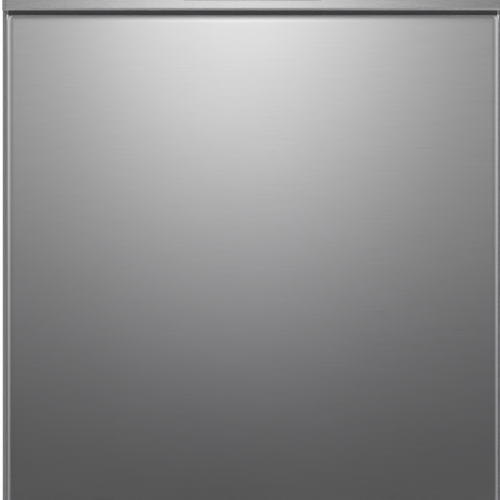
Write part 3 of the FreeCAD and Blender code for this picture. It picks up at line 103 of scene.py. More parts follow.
class FinishColours(bpy.types.PropertyGroup):
    """Colours of the finishes."""
    door_steel: colour("Door steel", "Brushed steel of door and fascia", (0.60, 0.60, 0.607))
    tub_steel: colour("Tub steel", "Rolled steel of the tub", (0.76, 0.765, 0.77))
    case_paint: colour("Case paint", "Coat of the side panels", (0.22, 0.22, 0.225))
    zinc: colour("Zinc", "Zinc-coated sheet", (0.52, 0.54, 0.55))
    worktop: colour("Worktop", "Laminate of the worktop", (0.50, 0.50, 0.495))
    black_plastic: colour("Black plastic", "Plinth, tray and handle pocket", (0.022, 0.022, 0.024))
    grey_plastic: colour("Grey plastic", "Spray arms, dispenser and baskets", (0.30, 0.31, 0.325))
    white_plastic: colour("White plastic", "Tank, valves and caps", (0.72, 0.72, 0.70))
    pump_case: colour("Pump case", "Motor and module cases", (0.06, 0.06, 0.066))
    rubber: colour("Rubber", "Seals", (0.018, 0.018, 0.018))
    rack_coat: colour("Rack coat", "Coating of the racks' wire", (0.33, 0.345, 0.37))
    wheels: colour("Wheels", "Wheels and rollers", (0.40, 0.41, 0.43))
    element: colour("Element", "Tube of the heating element", (0.50, 0.46, 0.40))
    screws: colour("Screws", "Bright screw heads", (0.70, 0.70, 0.71))
    window: colour("Window", "Smoked display window", (0.008, 0.008, 0.010))
    glow: colour("Glow", "Lit segments and lamps", (0.55, 0.85, 1.0))
    floor: colour("Floor", "Studio floor", (0.86, 0.86, 0.86))


class StageSizes(bpy.types.PropertyGroup):
    """Camera and studio."""
    camera_distance: length("Camera distance", "From the camera to the door", 24.0)
    camera_height: length("Camera height", "Height of the camera", 0.4160)
    camera_side: length("Camera side", "Camera to the side of the middle", -0.0033)
    view_width: length("View width", "Width that the picture shows at the door", 0.5965)
    card_distance: length("Card distance", "From the graded card to the door", 0.95)
    card_half: length("Card half", "Half width of the graded card", 0.88)
    card_foot: number("Card foot", "Light of the card at its foot", 0.021)
    card_head: number("Card head", "Light of the card at the door's head", 0.304)
    card_top: number("Card top", "Light of the card far above the door", 0.10)
    card_side: number("Card side", "Light added to the card's upper sides", 0.16)
    wing_head: number("Wing head", "Light added to the side wings at the fascia's height", 0.35)
    screen_foot: number("Screen foot", "Light of the side screens at the door's foot", 0.55)
    screen_head: number("Screen head", "Light of the side screens at the door's head", 1.04)
    glow_level: number("Glow", "Light of the card's soft spot", 2.68)
    glow_side: length("Glow side", "Soft spot to the side of the middle", -0.018)
    glow_height: length("Glow height", "Height of the soft spot", 0.813)
    glow_width: length("Glow width", "Half width of the soft spot", 0.358)
    glow_tall: length("Glow reach", "Half height of the soft spot", 0.690)
    glow_above: number("Glow above", "Share of the soft spot's fading above its middle", 0.25)
    sky_level: number("Sky", "Light of the studio on matt surfaces", 0.55)
    key_power: FloatProperty(name="Key", description="Power of the key lamp", default=60.0,
                             unit="POWER")
    floor_behind: length("Floor behind", "How far the floor runs on behind the machine", 8.0)


# Shader expressions

class Field:
    """A shader socket that takes part in Python expressions."""

    def __init__(self, paint, socket):
        self.paint, self.socket = paint, socket

    def maths(self, operation, first, second):
        return self.paint.node("ShaderNodeMath", {"operation": operation}, {0: first, 1: second})

    def __add__(self, other):
        return self.maths("ADD", self, other)

    __radd__ = __add__

    def __sub__(self, other):
        return self.maths("SUBTRACT", self, other)

    def __rsub__(self, other):
        return self.maths("SUBTRACT", other, self)

    def __mul__(self, other):
        return self.maths("MULTIPLY", self, other)

    __rmul__ = __mul__

    def __truediv__(self, other):
        return self.maths("DIVIDE", self, other)

    def __mod__(self, other):
        return self.maths("FLOORED_MODULO", self, other)

    def __pow__(self, other):
        return self.maths("POWER", self, other)

    def __gt__(self, other):
        return self.maths("GREATER_THAN", self, other)

    def __lt__(self, other):
        return self.maths("LESS_THAN", self, other)


class Paint:
    """Node tree of a material or world that is filled by expressions."""

    def __init__(self, holder):
        holder.use_nodes = True
        self.tree = holder.node_tree
        self.tree.nodes.clear()

    def node(self, kind, settings=None, inputs=None, out=0):
        """New node with its settings first and then the values or links of its sockets."""
        made = self.tree.nodes.new(kind)
        for key, setting in (settings or {}).items():
            setattr(made, key, setting)
        for key, given in (inputs or {}).items():
            if isinstance(given, Field):
                self.tree.links.new(given.socket, made.inputs[key])
            else:
                made.inputs[key].default_value = given
        return Field(self, made.outputs[out]) if made.outputs else None

    def spot(self):
        return self.node("ShaderNodeTexCoord", out="Object")

    def axis(self, spot, index):
        return self.node("ShaderNodeSeparateXYZ", None, {0: spot}, out=index)

    def place(self, scale=(1, 1, 1)):
        """Object coordinates, scaled."""
        return self.node("ShaderNodeMapping", None, {"Vector": self.spot(), "Scale": scale})

    def noise(self, scale, detail=2.0, stretch=(1, 1, 1), rough=0.5):
        return self.node("ShaderNodeTexNoise", None, {"Vector": self.place(stretch), "Scale": scale,
                                                      "Detail": detail, "Roughness": rough})

    def cells(self, scale, settings=None, out=0):
        return self.node("ShaderNodeTexVoronoi", settings,
                         {"Vector": self.place(), "Scale": scale}, out)

    def mix(self, factor, first, second):
        return self.node("ShaderNodeMix", {"data_type": "RGBA"},
                         {0: factor, 6: first, 7: second}, out=2)

    def span(self, factor, tone, dark, bright):
        """Colour that runs between a darker and a brighter tone."""
        return self.mix(factor, opaque(tone, dark), opaque(tone, bright))

    def bump(self, height, strength, distance):
        return self.node("ShaderNodeBump", None, {"Height": height, "Strength": strength,
                                                  "Distance": distance})

    def surface(self, **sockets):
        """Principled surface from its socket names, with _ for a blank."""
        inputs = {key.replace("_", " "): given for key, given in sockets.items()}
        shader = self.node("ShaderNodeBsdfPrincipled", None, inputs)
        self.node("ShaderNodeOutputMaterial", None, {"Surface": shader})


def opaque(tone, factor=1.0):
    """Colour times a factor, with its alpha."""
    return tuple(min(1.0, part * factor) for part in tone) + (1.0,)


def new_finish(name):
    material = bpy.data.materials.new(name)
    FINISHES[name] = material
    return Paint(material)


# Finishes

def brushed(name, tone, roughness, grain, depth):
    """Steel with fine level grain: long streaks in tone, gloss and relief."""
    paint = new_finish(name)
    fine = paint.noise(grain, 3.0, (0.012, 0.012, 1.0), 0.65)
    broad = paint.noise(grain * 0.16, 3.0, (0.02, 0.02, 1.0), 0.6)
    smudge = paint.noise(5.0, 3.0)
    streak = fine * 0.5 + broad * 0.5
    paint.surface(Base_Color=paint.span(streak, tone, 0.84, 1.16), Metallic=1.0,
                  Roughness=streak * 0.14 + smudge * 0.05 + (roughness - 0.095),
                  Normal=paint.bump(fine, depth, 0.00006))


def rolled_steel(name, tone):
    """Bright rolled sheet with faint clouding and water marks."""
    paint = new_finish(name)
    grain = paint.noise(900.0, 2.0, (1.0, 1.0, 0.03))
    cloud = paint.noise(7.0, 4.0)
    drops = paint.cells(60.0, {"feature": "SMOOTH_F1"})
    paint.surface(Base_Color=paint.span(cloud * 0.5 + grain * 0.3, tone, 0.95, 1.04),
                  Metallic=1.0, Roughness=cloud * 0.10 + drops * 0.06 + 0.24,
                  Normal=paint.bump(grain, 0.10, 0.00005))


def powder_coat(name, tone, roughness=0.46):
    """Metal coat with orange peel and a faint metallic fleck."""
    paint = new_finish(name)
    peel = paint.noise(420.0, 2.0)
    fleck = paint.noise(1900.0, 1.0)
    cloud = paint.noise(3.0, 3.0)
    paint.surface(Base_Color=paint.span(fleck * 0.6 + cloud * 0.4, tone, 0.90, 1.10),
                  Metallic=0.0, Roughness=peel * 0.12 + (roughness - 0.06), Coat_Weight=0.15,
                  Normal=paint.bump(peel, 0.16, 0.0003))


def zinc_sheet(name, tone):
    """Zinc-coated sheet with its spangle."""
    paint = new_finish(name)
    shade = paint.node("ShaderNodeRGBToBW", None, {0: paint.cells(70.0, out="Color")})
    cloud = paint.noise(9.0, 3.0)
    paint.surface(Base_Color=paint.span(shade * 0.6 + cloud * 0.4, tone, 0.82, 1.12),
                  Metallic=1.0, Roughness=shade * 0.16 + 0.32, Normal=paint.bump(shade, 0.05, 0.0002))


def laminate(name, tone):
    """Speckled laminate with a fine matt texture."""
    paint = new_finish(name)
    grain = paint.noise(620.0, 2.0)
    patch = paint.noise(140.0, 3.0)
    speckle = (grain > 0.58) * 0.55 + patch * 0.45
    paint.surface(Base_Color=paint.span(speckle, tone, 0.80, 1.16),
                  Roughness=grain * 0.16 + 0.38, Normal=paint.bump(grain, 0.10, 0.0003))


def moulded(name, tone, roughness, texture, coat=0.0):
    """Moulded plastic with a spark-eroded texture, slightly polished where it is high."""
    paint = new_finish(name)
    spark = paint.noise(texture, 3.0)
    flow = paint.noise(11.0, 3.0)
    paint.surface(Base_Color=paint.span(flow * 0.6 + spark * 0.4, tone, 0.88, 1.12),
                  Roughness=spark * 0.14 + flow * 0.06 + (roughness - 0.10), Coat_Weight=coat,
                  Normal=paint.bump(spark, 0.14, 0.0002))


def dipped_wire(name, tone):
    """Thick soft coating on wire, with runs from the dip bath."""
    paint = new_finish(name)
    run = paint.noise(60.0, 3.0, (1.0, 1.0, 0.35))
    paint.surface(Base_Color=paint.span(run, tone, 0.90, 1.08),
                  Roughness=run * 0.16 + 0.26, Coat_Weight=0.25, Normal=paint.bump(run, 0.18, 0.0004))


def rubber(name, tone):
    paint = new_finish(name)
    bloom = paint.noise(38.0, 4.0)
    paint.surface(Base_Color=paint.span(bloom, tone, 0.7, 1.9),
                  Roughness=bloom * 0.2 + 0.55, Normal=paint.bump(bloom, 0.1, 0.0004))


def tinted_tube(name, tone):
    """Bright tube with the straw and blue tints that heat leaves."""
    paint = new_finish(name)
    straw, blue = (0.42, 0.31, 0.19, 1.0), (0.27, 0.29, 0.38, 1.0)
    heat = paint.noise(16.0, 3.0)
    warm = paint.mix(heat, opaque(tone), straw)
    paint.surface(Base_Color=paint.mix((heat > 0.60) * 0.5, warm, blue), Metallic=1.0,
                  Roughness=heat * 0.2 + 0.22)


def bright_screw(name, tone):
    paint = new_finish(name)
    scuff = paint.noise(700.0, 2.0)
    paint.surface(Base_Color=paint.span(scuff, tone, 0.85, 1.05), Metallic=1.0,
                  Roughness=scuff * 0.2 + 0.2)


def smoked_window(name, tone):
    paint = new_finish(name)
    wipe = paint.noise(22.0, 3.0)
    paint.surface(Base_Color=opaque(tone), Roughness=wipe * 0.07 + 0.04, Coat_Weight=0.6, IOR=1.5)


def lit(name, tone, strength):
    """Glowing segment with slightly uneven light."""
    paint = new_finish(name)
    fade = paint.noise(300.0, 1.0)
    paint.surface(Base_Color=NEAR_BLACK, Roughness=0.4, Emission_Strength=strength,
                  Emission_Color=paint.span(fade, tone, 0.9, 1.0))


def drilled(name, tone, pitch, radius):
    """Perforated steel: a square field of small holes seen from above, painted near black as painted
    shade.
    """
    paint = new_finish(name)
    spot = paint.spot()
    x, y = [paint.axis(spot, index) % pitch - pitch / 2 for index in range(2)]
    hole = (x * x + y * y) < radius ** 2
    grain = paint.noise(500.0, 2.0)
    # Each hole is painted near black: painted shade seen through the sieve, not a colour of the steel.
    paint.surface(Base_Color=paint.mix(hole, paint.span(grain, tone, 0.9, 1.05), NEAR_BLACK),
                  Metallic=1.0 - hole, Roughness=grain * 0.15 + hole * 0.4 + 0.22,
                  Normal=paint.bump(1.0 - hole, 0.5, 0.0005))


def make_finishes(tones):
    brushed("door_steel", tones.door_steel, 0.30, 5200.0, 0.05)
    # The fascia is the door's steel with its tone darkened to 0.8: painted shade, so that the fascia
    # reflects dimmer than the door.
    brushed("fascia_shaded_steel", [part * 0.8 for part in tones.door_steel], 0.28, 5200.0, 0.05)
    rolled_steel("tub_steel", tones.tub_steel)
    drilled("sieve_steel", tones.tub_steel, 0.0042, 0.0012)
    powder_coat("case_paint", tones.case_paint)
    zinc_sheet("zinc_sheet", tones.zinc)
    laminate("worktop_board", tones.worktop)
    moulded("black_plastic", tones.black_plastic, 0.50, 900.0)
    moulded("grey_plastic", tones.grey_plastic, 0.40, 700.0, 0.1)
    moulded("white_plastic", tones.white_plastic, 0.40, 600.0, 0.1)
    moulded("pump_case", tones.pump_case, 0.45, 700.0)
    rubber("rubber", tones.rubber)
    dipped_wire("rack_coat", tones.rack_coat)
    moulded("wheel_plastic", tones.wheels, 0.42, 800.0)
    tinted_tube("element", tones.element)
    bright_screw("screws", tones.screws)
    smoked_window("window", tones.window)
    brushed("buttons", tones.door_steel, 0.28, 7000.0, 0.04)
    lit("glow", tones.glow, 2.2)
    # Dark ink of the buttons' printed marks; the same finish is painted shade in the openings of the
    # spray jets.
    moulded("ink_and_hole_shade", (0.05, 0.05, 0.055), 0.45, 1200.0)


# Shapes

def round_off(bm, edges, width, segments):
    bmesh.ops.bevel(bm, geom=edges, offset=width, offset_type="OFFSET", affect="EDGES",
                    segments=segments, profile=0.5, material=-1)


def facing(place, axis):
    """Matrix that moves to a place and turns Z to an axis."""
    turn = Vector(axis).to_track_quat("Z", "Y").to_matrix().to_4x4()
    return Matrix.Translation(place) @ turn


def verts_in(geom):
    return [item for item in geom if isinstance(item, bmesh.types.BMVert)]


def edges_in(geom):
    return [item for item in geom if isinstance(item, bmesh.types.BMEdge)]


def block(bm, low, high, edge=0.0, segments=2):
    """Block between two corners with its edges rounded."""
    low, high = Vector(low), Vector(high)
    matrix = Matrix.Translation((low + high) / 2) @ Matrix.Diagonal((*(high - low), 1.0))
    made = bmesh.ops.create_cube(bm, size=1.0, matrix=matrix)
    if edge:
        edges = dict.fromkeys(side for vert in made["verts"] for side in vert.link_edges)
        round_off(bm, list(edges), edge, segments)


def rod(bm, start, end, radius, sides=12, tip=0.0):
    """Round rod with an optional rounded tip at its end."""
    near, far = Vector(start), Vector(end)
    made = bmesh.ops.create_cone(bm, cap_ends=True, cap_tris=False, segments=sides, radius1=radius,
                                 radius2=radius, depth=(far - near).length,
                                 matrix=facing((near + far) / 2, far - near))
    if tip:
        ring = [vert for vert in made["verts"] if (vert.co - far).length < radius * 1.01]
        edges = dict.fromkeys(side for vert in ring for side in vert.link_edges
                              if all(other in ring for other in side.verts))
        round_off(bm, list(edges), tip, 3)


def wire(bm, corners, radius, bend, sides=8, closed=False, steps=4):
    """Wire bent along a run of corners: straight stretches are extruded and bends are spun."""
    points = [Vector(corner) for corner in corners]
    if closed:
        middle = (points[0] + points[1]) / 2
        points = [middle] + points[1:] + [points[0], middle]
    part = bmesh.new()
    heading = (points[1] - points[0]).normalized()
    bmesh.ops.create_circle(part, cap_ends=not closed, segments=sides, radius=radius,
                            matrix=facing(points[0], heading))
    ring, at = list(part.edges), points[0]

    def straight(ring, shift):
        pulled = bmesh.ops.extrude_edge_only(part, edges=ring)["geom"]
        verts = verts_in(pulled)
        bmesh.ops.translate(part, verts=verts, vec=shift)
        return [edge for edge in edges_in(pulled) if all(vert in verts for vert in edge.verts)]

    for corner, after in zip(points[1:-1], points[2:]):
        onward = (after - corner).normalized()
        angle = heading.angle(onward)
        back = bend * math.tan(angle / 2)
        foot = corner - heading * back
        ring = straight(ring, foot - at)
        inward = (onward - heading * heading.dot(onward)).normalized()
        verts = list(dict.fromkeys(vert for side in ring for vert in side.verts))
        spun = bmesh.ops.spin(part, geom=verts + ring, cent=foot + inward * bend,
                              axis=heading.cross(onward).normalized(), dvec=(0, 0, 0), angle=angle,
                              steps=steps, use_merge=False)
        ring = edges_in(spun["geom_last"])
        at, heading = corner + onward * back, onward
    ring = straight(ring, points[-1] - at)
    if closed:
        bmesh.ops.remove_doubles(part, verts=list(part.verts), dist=radius * 0.01)
    else:
        bmesh.ops.edgeloop_fill(part, edges=ring)
    bmesh.ops.recalc_face_normals(part, faces=list(part.faces))
    add(bm, part)


def hoop(bm, x, y, z, radius, bend, sides, steps):
    """Level closed loop of wire with four bends."""
    corners = [(x[0], y[0], z), (x[1], y[0], z), (x[1], y[1], z), (x[0], y[1], z)]
    wire(bm, corners, radius, bend, sides, closed=True, steps=steps)


def turned(bm, profile, centre, axis=(0, 0, 1), steps=32):
    """Shape turned about an axis through centre from pairs of radius and level."""
    part = bmesh.new()
    verts = [part.verts.new((radius, 0.0, level)) for radius, level in profile]
    edges = [part.edges.new(ends) for ends in zip(verts, verts[1:])]
    bmesh.ops.spin(part, geom=verts + edges, cent=(0, 0, 0), axis=(0, 0, 1), dvec=(0, 0, 0),
                   angle=math.tau, steps=steps, use_merge=True)
    bmesh.ops.remove_doubles(part, verts=list(part.verts), dist=1e-7)
    bmesh.ops.recalc_face_normals(part, faces=list(part.faces))
    part.transform(facing(centre, axis))
    add(bm, part)


def add(bm, part):
    """Put the shapes of one bmesh into another."""
    mesh = bpy.data.meshes.new("part")
    part.to_mesh(mesh)
    part.free()
    bm.from_mesh(mesh)
    bpy.data.meshes.remove(mesh)


def mirror_copy(bm):
    """Add the mirror image across the machine's middle plane."""
    geom = bmesh.ops.duplicate(bm, geom=list(bm.verts) + list(bm.edges) + list(bm.faces))["geom"]
    bmesh.ops.scale(bm, vec=(-1, 1, 1), verts=verts_in(geom))
    faces = [item for item in geom if isinstance(item, bmesh.types.BMFace)]
    bmesh.ops.reverse_faces(bm, faces=faces)


def place_mesh(name, bm, finish):
    """New object in the scene with the shapes of a bmesh and one finish."""
    mesh = bpy.data.meshes.new(name)
    bm.to_mesh(mesh)
    bm.free()
    mesh.materials.append(finish)
    piece = bpy.data.objects.new(name, mesh)
    bpy.context.scene.collection.objects.link(piece)
    return piece


def put(name, bm, body, slot, nodes=(), finish=None):
    """Make the piece from its bmesh, with its finish, and let it ride on its body."""
    piece = place_mesh(name, bm, FINISHES[finish or slot])
    piece.data.shade_smooth()
    piece.data.set_sharp_from_angle(angle=SHARP)
    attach(piece, body)
    if nodes:
        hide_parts(*nodes)
    return piece


def spaced(low, high, pitch):
    """Evenly spaced places from low to high, about a pitch apart."""
    count = max(1, round((high - low) / pitch))
    return [low + (high - low) * index / count for index in range(count + 1)]


# Pieces

class DISHWASHER_OT_finishes(bpy.types.Operator):
    """Make the finishes and give every frame part its own."""
    bl_idname = "dishwasher.finishes"
    bl_label = "Finishes"

    def execute(self, context):
        make_finishes(context.scene.dishwasher_colours)
        # The fascia gets the darker copy of the door steel, whose darkening is painted shade.
        own = {"filter_plate": "sieve_steel", "fascia": "fascia_shaded_steel"}
        for node, piece in frame["nodes"].items():
            piece.data.materials.clear()
            piece.data.materials.append(FINISHES[own.get(node, SLOT_OF[node])])
        return {"FINISHED"}


class DISHWASHER_OT_door_skin(bpy.types.Operator):
    """Folded steel skin of the door: face with rounded edges and its returns."""
    bl_idname = "dishwasher.door_skin"
    bl_label = "Door skin"

    def execute(self, context):
        sizes = context.scene.dishwasher_door
        low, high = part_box("door_panel")
        near, ring = 1e-6, 0.0006
        notch_near, notch_far = 0.277, 0.289
        bm = bmesh.new()
        deep = low.y + (high.y - low.y) / sizes.shallow
        block(bm, low, (high.x, deep, high.z))

        def foot_faces():
            return [face for face in bm.faces if all(vert.co.z < low.z + near for vert in face.verts)]

        def bend(radius, segments, chosen):
            edges = [edge for edge in bm.edges if all(chosen(vert.co) for vert in edge.verts)]
            round_off(bm, edges, radius, segments)

        bend(sizes.top_round, 12, lambda spot: spot.y < low.y + near and spot.z > high.z - near)
        bend(sizes.top_round, 12, lambda spot: spot.y < low.y + near and spot.z < low.z + near)
        for side in SIDES:
            bend(sizes.side_round, 10, lambda spot: spot.x * side > high.x - near
                 and spot.y < low.y + sizes.top_round + near)
        rear = [face for face in bm.faces if all(vert.co.y > deep - near for vert in face.verts)]
        bmesh.ops.delete(bm, geom=rear, context="FACES_ONLY")
        bmesh.ops.remove_doubles(bm, verts=list(bm.verts), dist=near * 10)
        face = max(bm.faces, key=lambda face: face.calc_area())
        bmesh.ops.inset_region(bm, faces=[face], thickness=ring, use_even_offset=True)
        bmesh.ops.scale(bm, vec=(1, sizes.shallow, 1), space=Matrix.Translation((0, -low.y, 0)),
                        verts=list(bm.verts))
        for x in (-notch_far, -notch_near, notch_near, notch_far):
            foot = foot_faces()
            edges = dict.fromkeys(edge for face in foot for edge in face.edges)
            bmesh.ops.bisect_plane(bm, geom=foot + list(edges), plane_co=(x, 0, 0),
                                   plane_no=(1, 0, 0))
        notches = [face for face in foot_faces()
                   if notch_near < abs(face.calc_center_median().x) < notch_far]
        bmesh.ops.delete(bm, geom=notches, context="FACES_ONLY")
        piece = put("door_skin", bm, "door", "door_steel", ["door_panel"])
        sheet = piece.modifiers.new("sheet", "SOLIDIFY")
        sheet.thickness, sheet.offset = sizes.skin, -1.0
        return {"FINISHED"}


class DISHWASHER_OT_groove(bpy.types.Operator):
    """Dark strip at the bottom of the groove between the fascia and the door skin."""
    bl_idname = "dishwasher.groove"
    bl_label = "Groove"

    def execute(self, context):
        low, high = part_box("door_panel")
        end, front, rear = 0.002, low.y + 0.0075, low.y + 0.0095
        bm = bmesh.new()
        block(bm, (low.x + end, front, high.z - 0.0004), (high.x - end, rear, high.z + 0.0052))
        put("groove_strip", bm, "door", "black_plastic", finish="pump_case")
        return {"FINISHED"}


TINES = [-0.200 + 0.030 * index for index in range(9)]
TINE_RUN = (-0.215, 0.055)
FIXED_ROWS = (0.050, 0.140)
FOLDING_ROW = -0.040
RACK_DEPTH = (-0.2245, 0.2235)


def basket_wires(bm, sizes, half, front, rear, floor, top, levels):
    """Wire basket: bent uprights both ways with a rim and level hoops."""
    half, front, rear = half - sizes.rim, front + sizes.rim, rear - sizes.rim
    ground = floor + sizes.wire
    for x in spaced(-half + sizes.bend, half - sizes.bend, sizes.mesh):
        wire(bm, [(x, front, top), (x, front, ground), (x, rear, ground), (x, rear, top)], sizes.wire,
             sizes.bend, sizes.sides)
    for y in spaced(front + sizes.bend, rear - sizes.bend, sizes.mesh):
        wire(bm, [(-half, y, top), (-half, y, ground), (half, y, ground), (half, y, top)], sizes.wire,
             sizes.bend, sizes.sides)
    for level in (*levels, top):
        hoop(bm, (-half, half), (front, rear), level, sizes.rim if level == top else sizes.wire,
             sizes.bend, sizes.sides + 2, 6)


def tine_row(bm, sizes, y, foot, top):
    for x in TINES:
        rod(bm, (x, y, foot), (x, y, top), sizes.tine, 8, sizes.tine * 0.9)


class DISHWASHER_OT_lower_rack(bpy.types.Operator):
    """Lower wire rack with its fixed tines and axles, and the row of tines that folds."""
    bl_idname = "dishwasher.lower_rack"
    bl_label = "Lower rack"

    def execute(self, context):
        sizes = context.scene.dishwasher_racks
        half, floor, rim, hoops = 0.259, 0.204, 0.3954, (0.252, 0.300, 0.348)
        rail, pivot, axle = 0.210, 0.214, 0.1893
        bearing, saddle, plate = 0.0055, 0.038, 0.008
        bm = bmesh.new()
        basket_wires(bm, sizes, half, *RACK_DEPTH, floor, rim, hoops)
        for y in FIXED_ROWS:
            wire(bm, [(x, y, rail) for x in TINE_RUN], sizes.wire, sizes.bend, sizes.sides)
            tine_row(bm, sizes, y, 0.2085, 0.298)
        for low in (-0.223, 0.055):
            block(bm, (low, FOLDING_ROW - bearing, 0.2082),
                  (low + 0.008, FOLDING_ROW + bearing, 0.2192), 0.0016, 3)
            block(bm, (low + 0.001, FOLDING_ROW - saddle, 0.2075),
                  (low + 0.007, FOLDING_ROW + saddle, 0.2097), 0.0008)
        for side in SIDES:
            for y in (-0.1125, 0.1775):
                near, far = sorted((side * 0.2552, side * 0.2588))
                block(bm, (near, y - plate, 0.1815), (far, y + plate, 0.2068), 0.0012)
                rod(bm, (side * 0.256, y, axle), (side * 0.2692, y, axle), 0.003, 16)
                rod(bm, (side * 0.269, y, axle), (side * 0.2708, y, axle), 0.0058, 20, 0.0010)
        put("lower_basket", bm, "lower_rack", "rack_coat", ["lower_rack"])
        bm = bmesh.new()
        rod(bm, (-0.2225, FOLDING_ROW, pivot), (0.0625, FOLDING_ROW, pivot), 0.002, 10)
        tine_row(bm, sizes, FOLDING_ROW, 0.2145, 0.3035)
        put("folding_row", bm, "folding_tines", "rack_coat", ["folding_tines"])
        return {"FINISHED"}


class DISHWASHER_OT_cutlery_basket(bpy.types.Operator):
    """Moulded lattice basket with four cells."""
    bl_idname = "dishwasher.cutlery_basket"
    bl_label = "Cutlery basket"

    def execute(self, context):
        pitch = context.scene.dishwasher_racks.lattice
        low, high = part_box("cutlery_basket")
        wall, edge, bar, inset = 0.0025, 0.0006, 0.0032, 0.0003
        foot, head = low.z + 0.006, high.z - 0.006
        cells = [low.y + (high.y - low.y - wall) * index / 4 for index in range(5)]
        bm = bmesh.new()

        def thin(*corners):
            block(bm, *corners, edge, 1)

        bands = ((low.z, low.z + 0.012), (low.z + 0.058, low.z + 0.063), (high.z - 0.014, high.z))
        for lower, upper in bands:
            for x in (low.x, high.x - wall):
                block(bm, (x, low.y, lower), (x + wall, high.y, upper), edge)
            for y in cells:
                block(bm, (low.x + wall * 0.5, y, lower), (high.x - wall * 0.5, y + wall, upper), edge)
        for y in spaced(low.y, high.y - bar, pitch):
            for x in (low.x, high.x - wall):
                thin((x + inset, y, foot), (x + wall - inset, y + bar, head))
            thin((low.x + 0.001, y, low.z), (high.x - 0.001, y + bar, low.z + wall))
        for x in spaced(low.x, high.x - bar, pitch):
            for y in cells:
                thin((x, y + inset, foot), (x + bar, y + wall - inset, head))
            thin((x, low.y + 0.001, low.z + 0.0002), (x + bar, high.y - 0.001, low.z + wall - 0.0002))
        put("cutlery_lattice", bm, "lower_rack", "grey_plastic", ["cutlery_basket"])
        return {"FINISHED"}


class DISHWASHER_OT_upper_rack(bpy.types.Operator):
    """Upper wire rack with its water feed, axles and shelf hinges."""
    bl_idname = "dishwasher.upper_rack"
    bl_label = "Upper rack"

    def execute(self, context):
        sizes = context.scene.dishwasher_racks
        half, floor, rim, hoops = 0.252, 0.472, 0.6034, (0.515, 0.560)
        axle, hinge_x, hinge_z, wall, plate = 0.560, 0.242, 0.536, 0.2518, 0.008
        bm = bmesh.new()
        basket_wires(bm, sizes, half, *RACK_DEPTH, floor, rim, hoops)
        part = bmesh.new()
        for y in (-0.0405, 0.1845):
            block(part, (0.2482, y - plate, 0.476), (wall, y + plate, 0.568), 0.0012)
            rod(part, (0.249, y, axle), (0.2618, y, axle), 0.003, 16, 0.0006)
        for foot, head in ((-0.162, -0.150), (0.150, 0.162)):
            block(part, (0.2382, foot, 0.4762), (wall, head, 0.540), 0.0016, 3)
        rod(part, (hinge_x, -0.151, hinge_z), (hinge_x, 0.151, hinge_z), 0.002, 12)
        mirror_copy(part)
        add(bm, part)
        put("upper_basket", bm, "upper_rack", "rack_coat", ["upper_rack"])
        bm = bmesh.new()
        block(bm, (-0.009, -0.014, 0.456), (0.009, 0.2235, 0.472), 0.0045, 4)
        turned(bm, [(0.0, 0.456), (0.0140, 0.456), (0.0140, 0.444), (0.0125, 0.440), (0.009, 0.440),
                    (0.009, 0.4298), (0.0082, 0.429), (0.0, 0.429)], (0, 0, 0))
        put("upper_feed", bm, "upper_rack", "grey_plastic")
        return {"FINISHED"}


class DISHWASHER_OT_cup_shelves(bpy.types.Operator):
    """Two ribbed shelves that fold up against the sides of the upper rack."""
    bl_idname = "dishwasher.cup_shelves"
    bl_label = "Cup shelves"

    def execute(self, context):
        inner, root, rib, knuckle = 0.132, 0.238, 0.004, 0.012
        for hand, side in zip(("left", "right"), SIDES):
            node = "cup_shelf_" + hand
            low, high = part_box(node)
            bm = bmesh.new()

            def bar(x, y, z=(0.5346, 0.5374), edge=0.0009):
                across = sorted((side * x[0], side * x[1]))
                block(bm, (across[0], y[0], z[0]), (across[1], y[1], z[1]), edge)

            for y in spaced(low.y, high.y - rib, 0.0246):
                bar((inner + 0.002, root), (y, y + rib))
            for x in spaced(inner, root - rib, 0.034):
                bar((x, x + rib), (low.y, high.y))
            bar((inner, inner + 0.005), (low.y, high.y), (0.5330, 0.5390), 0.0016)
            for foot in (low.y, high.y - knuckle):
                bar((root - 0.002, 0.246), (foot, foot + knuckle), (0.5320, 0.5400), 0.0024)
            put("shelf_" + hand, bm, node, "rack_coat", [node])
        return {"FINISHED"}


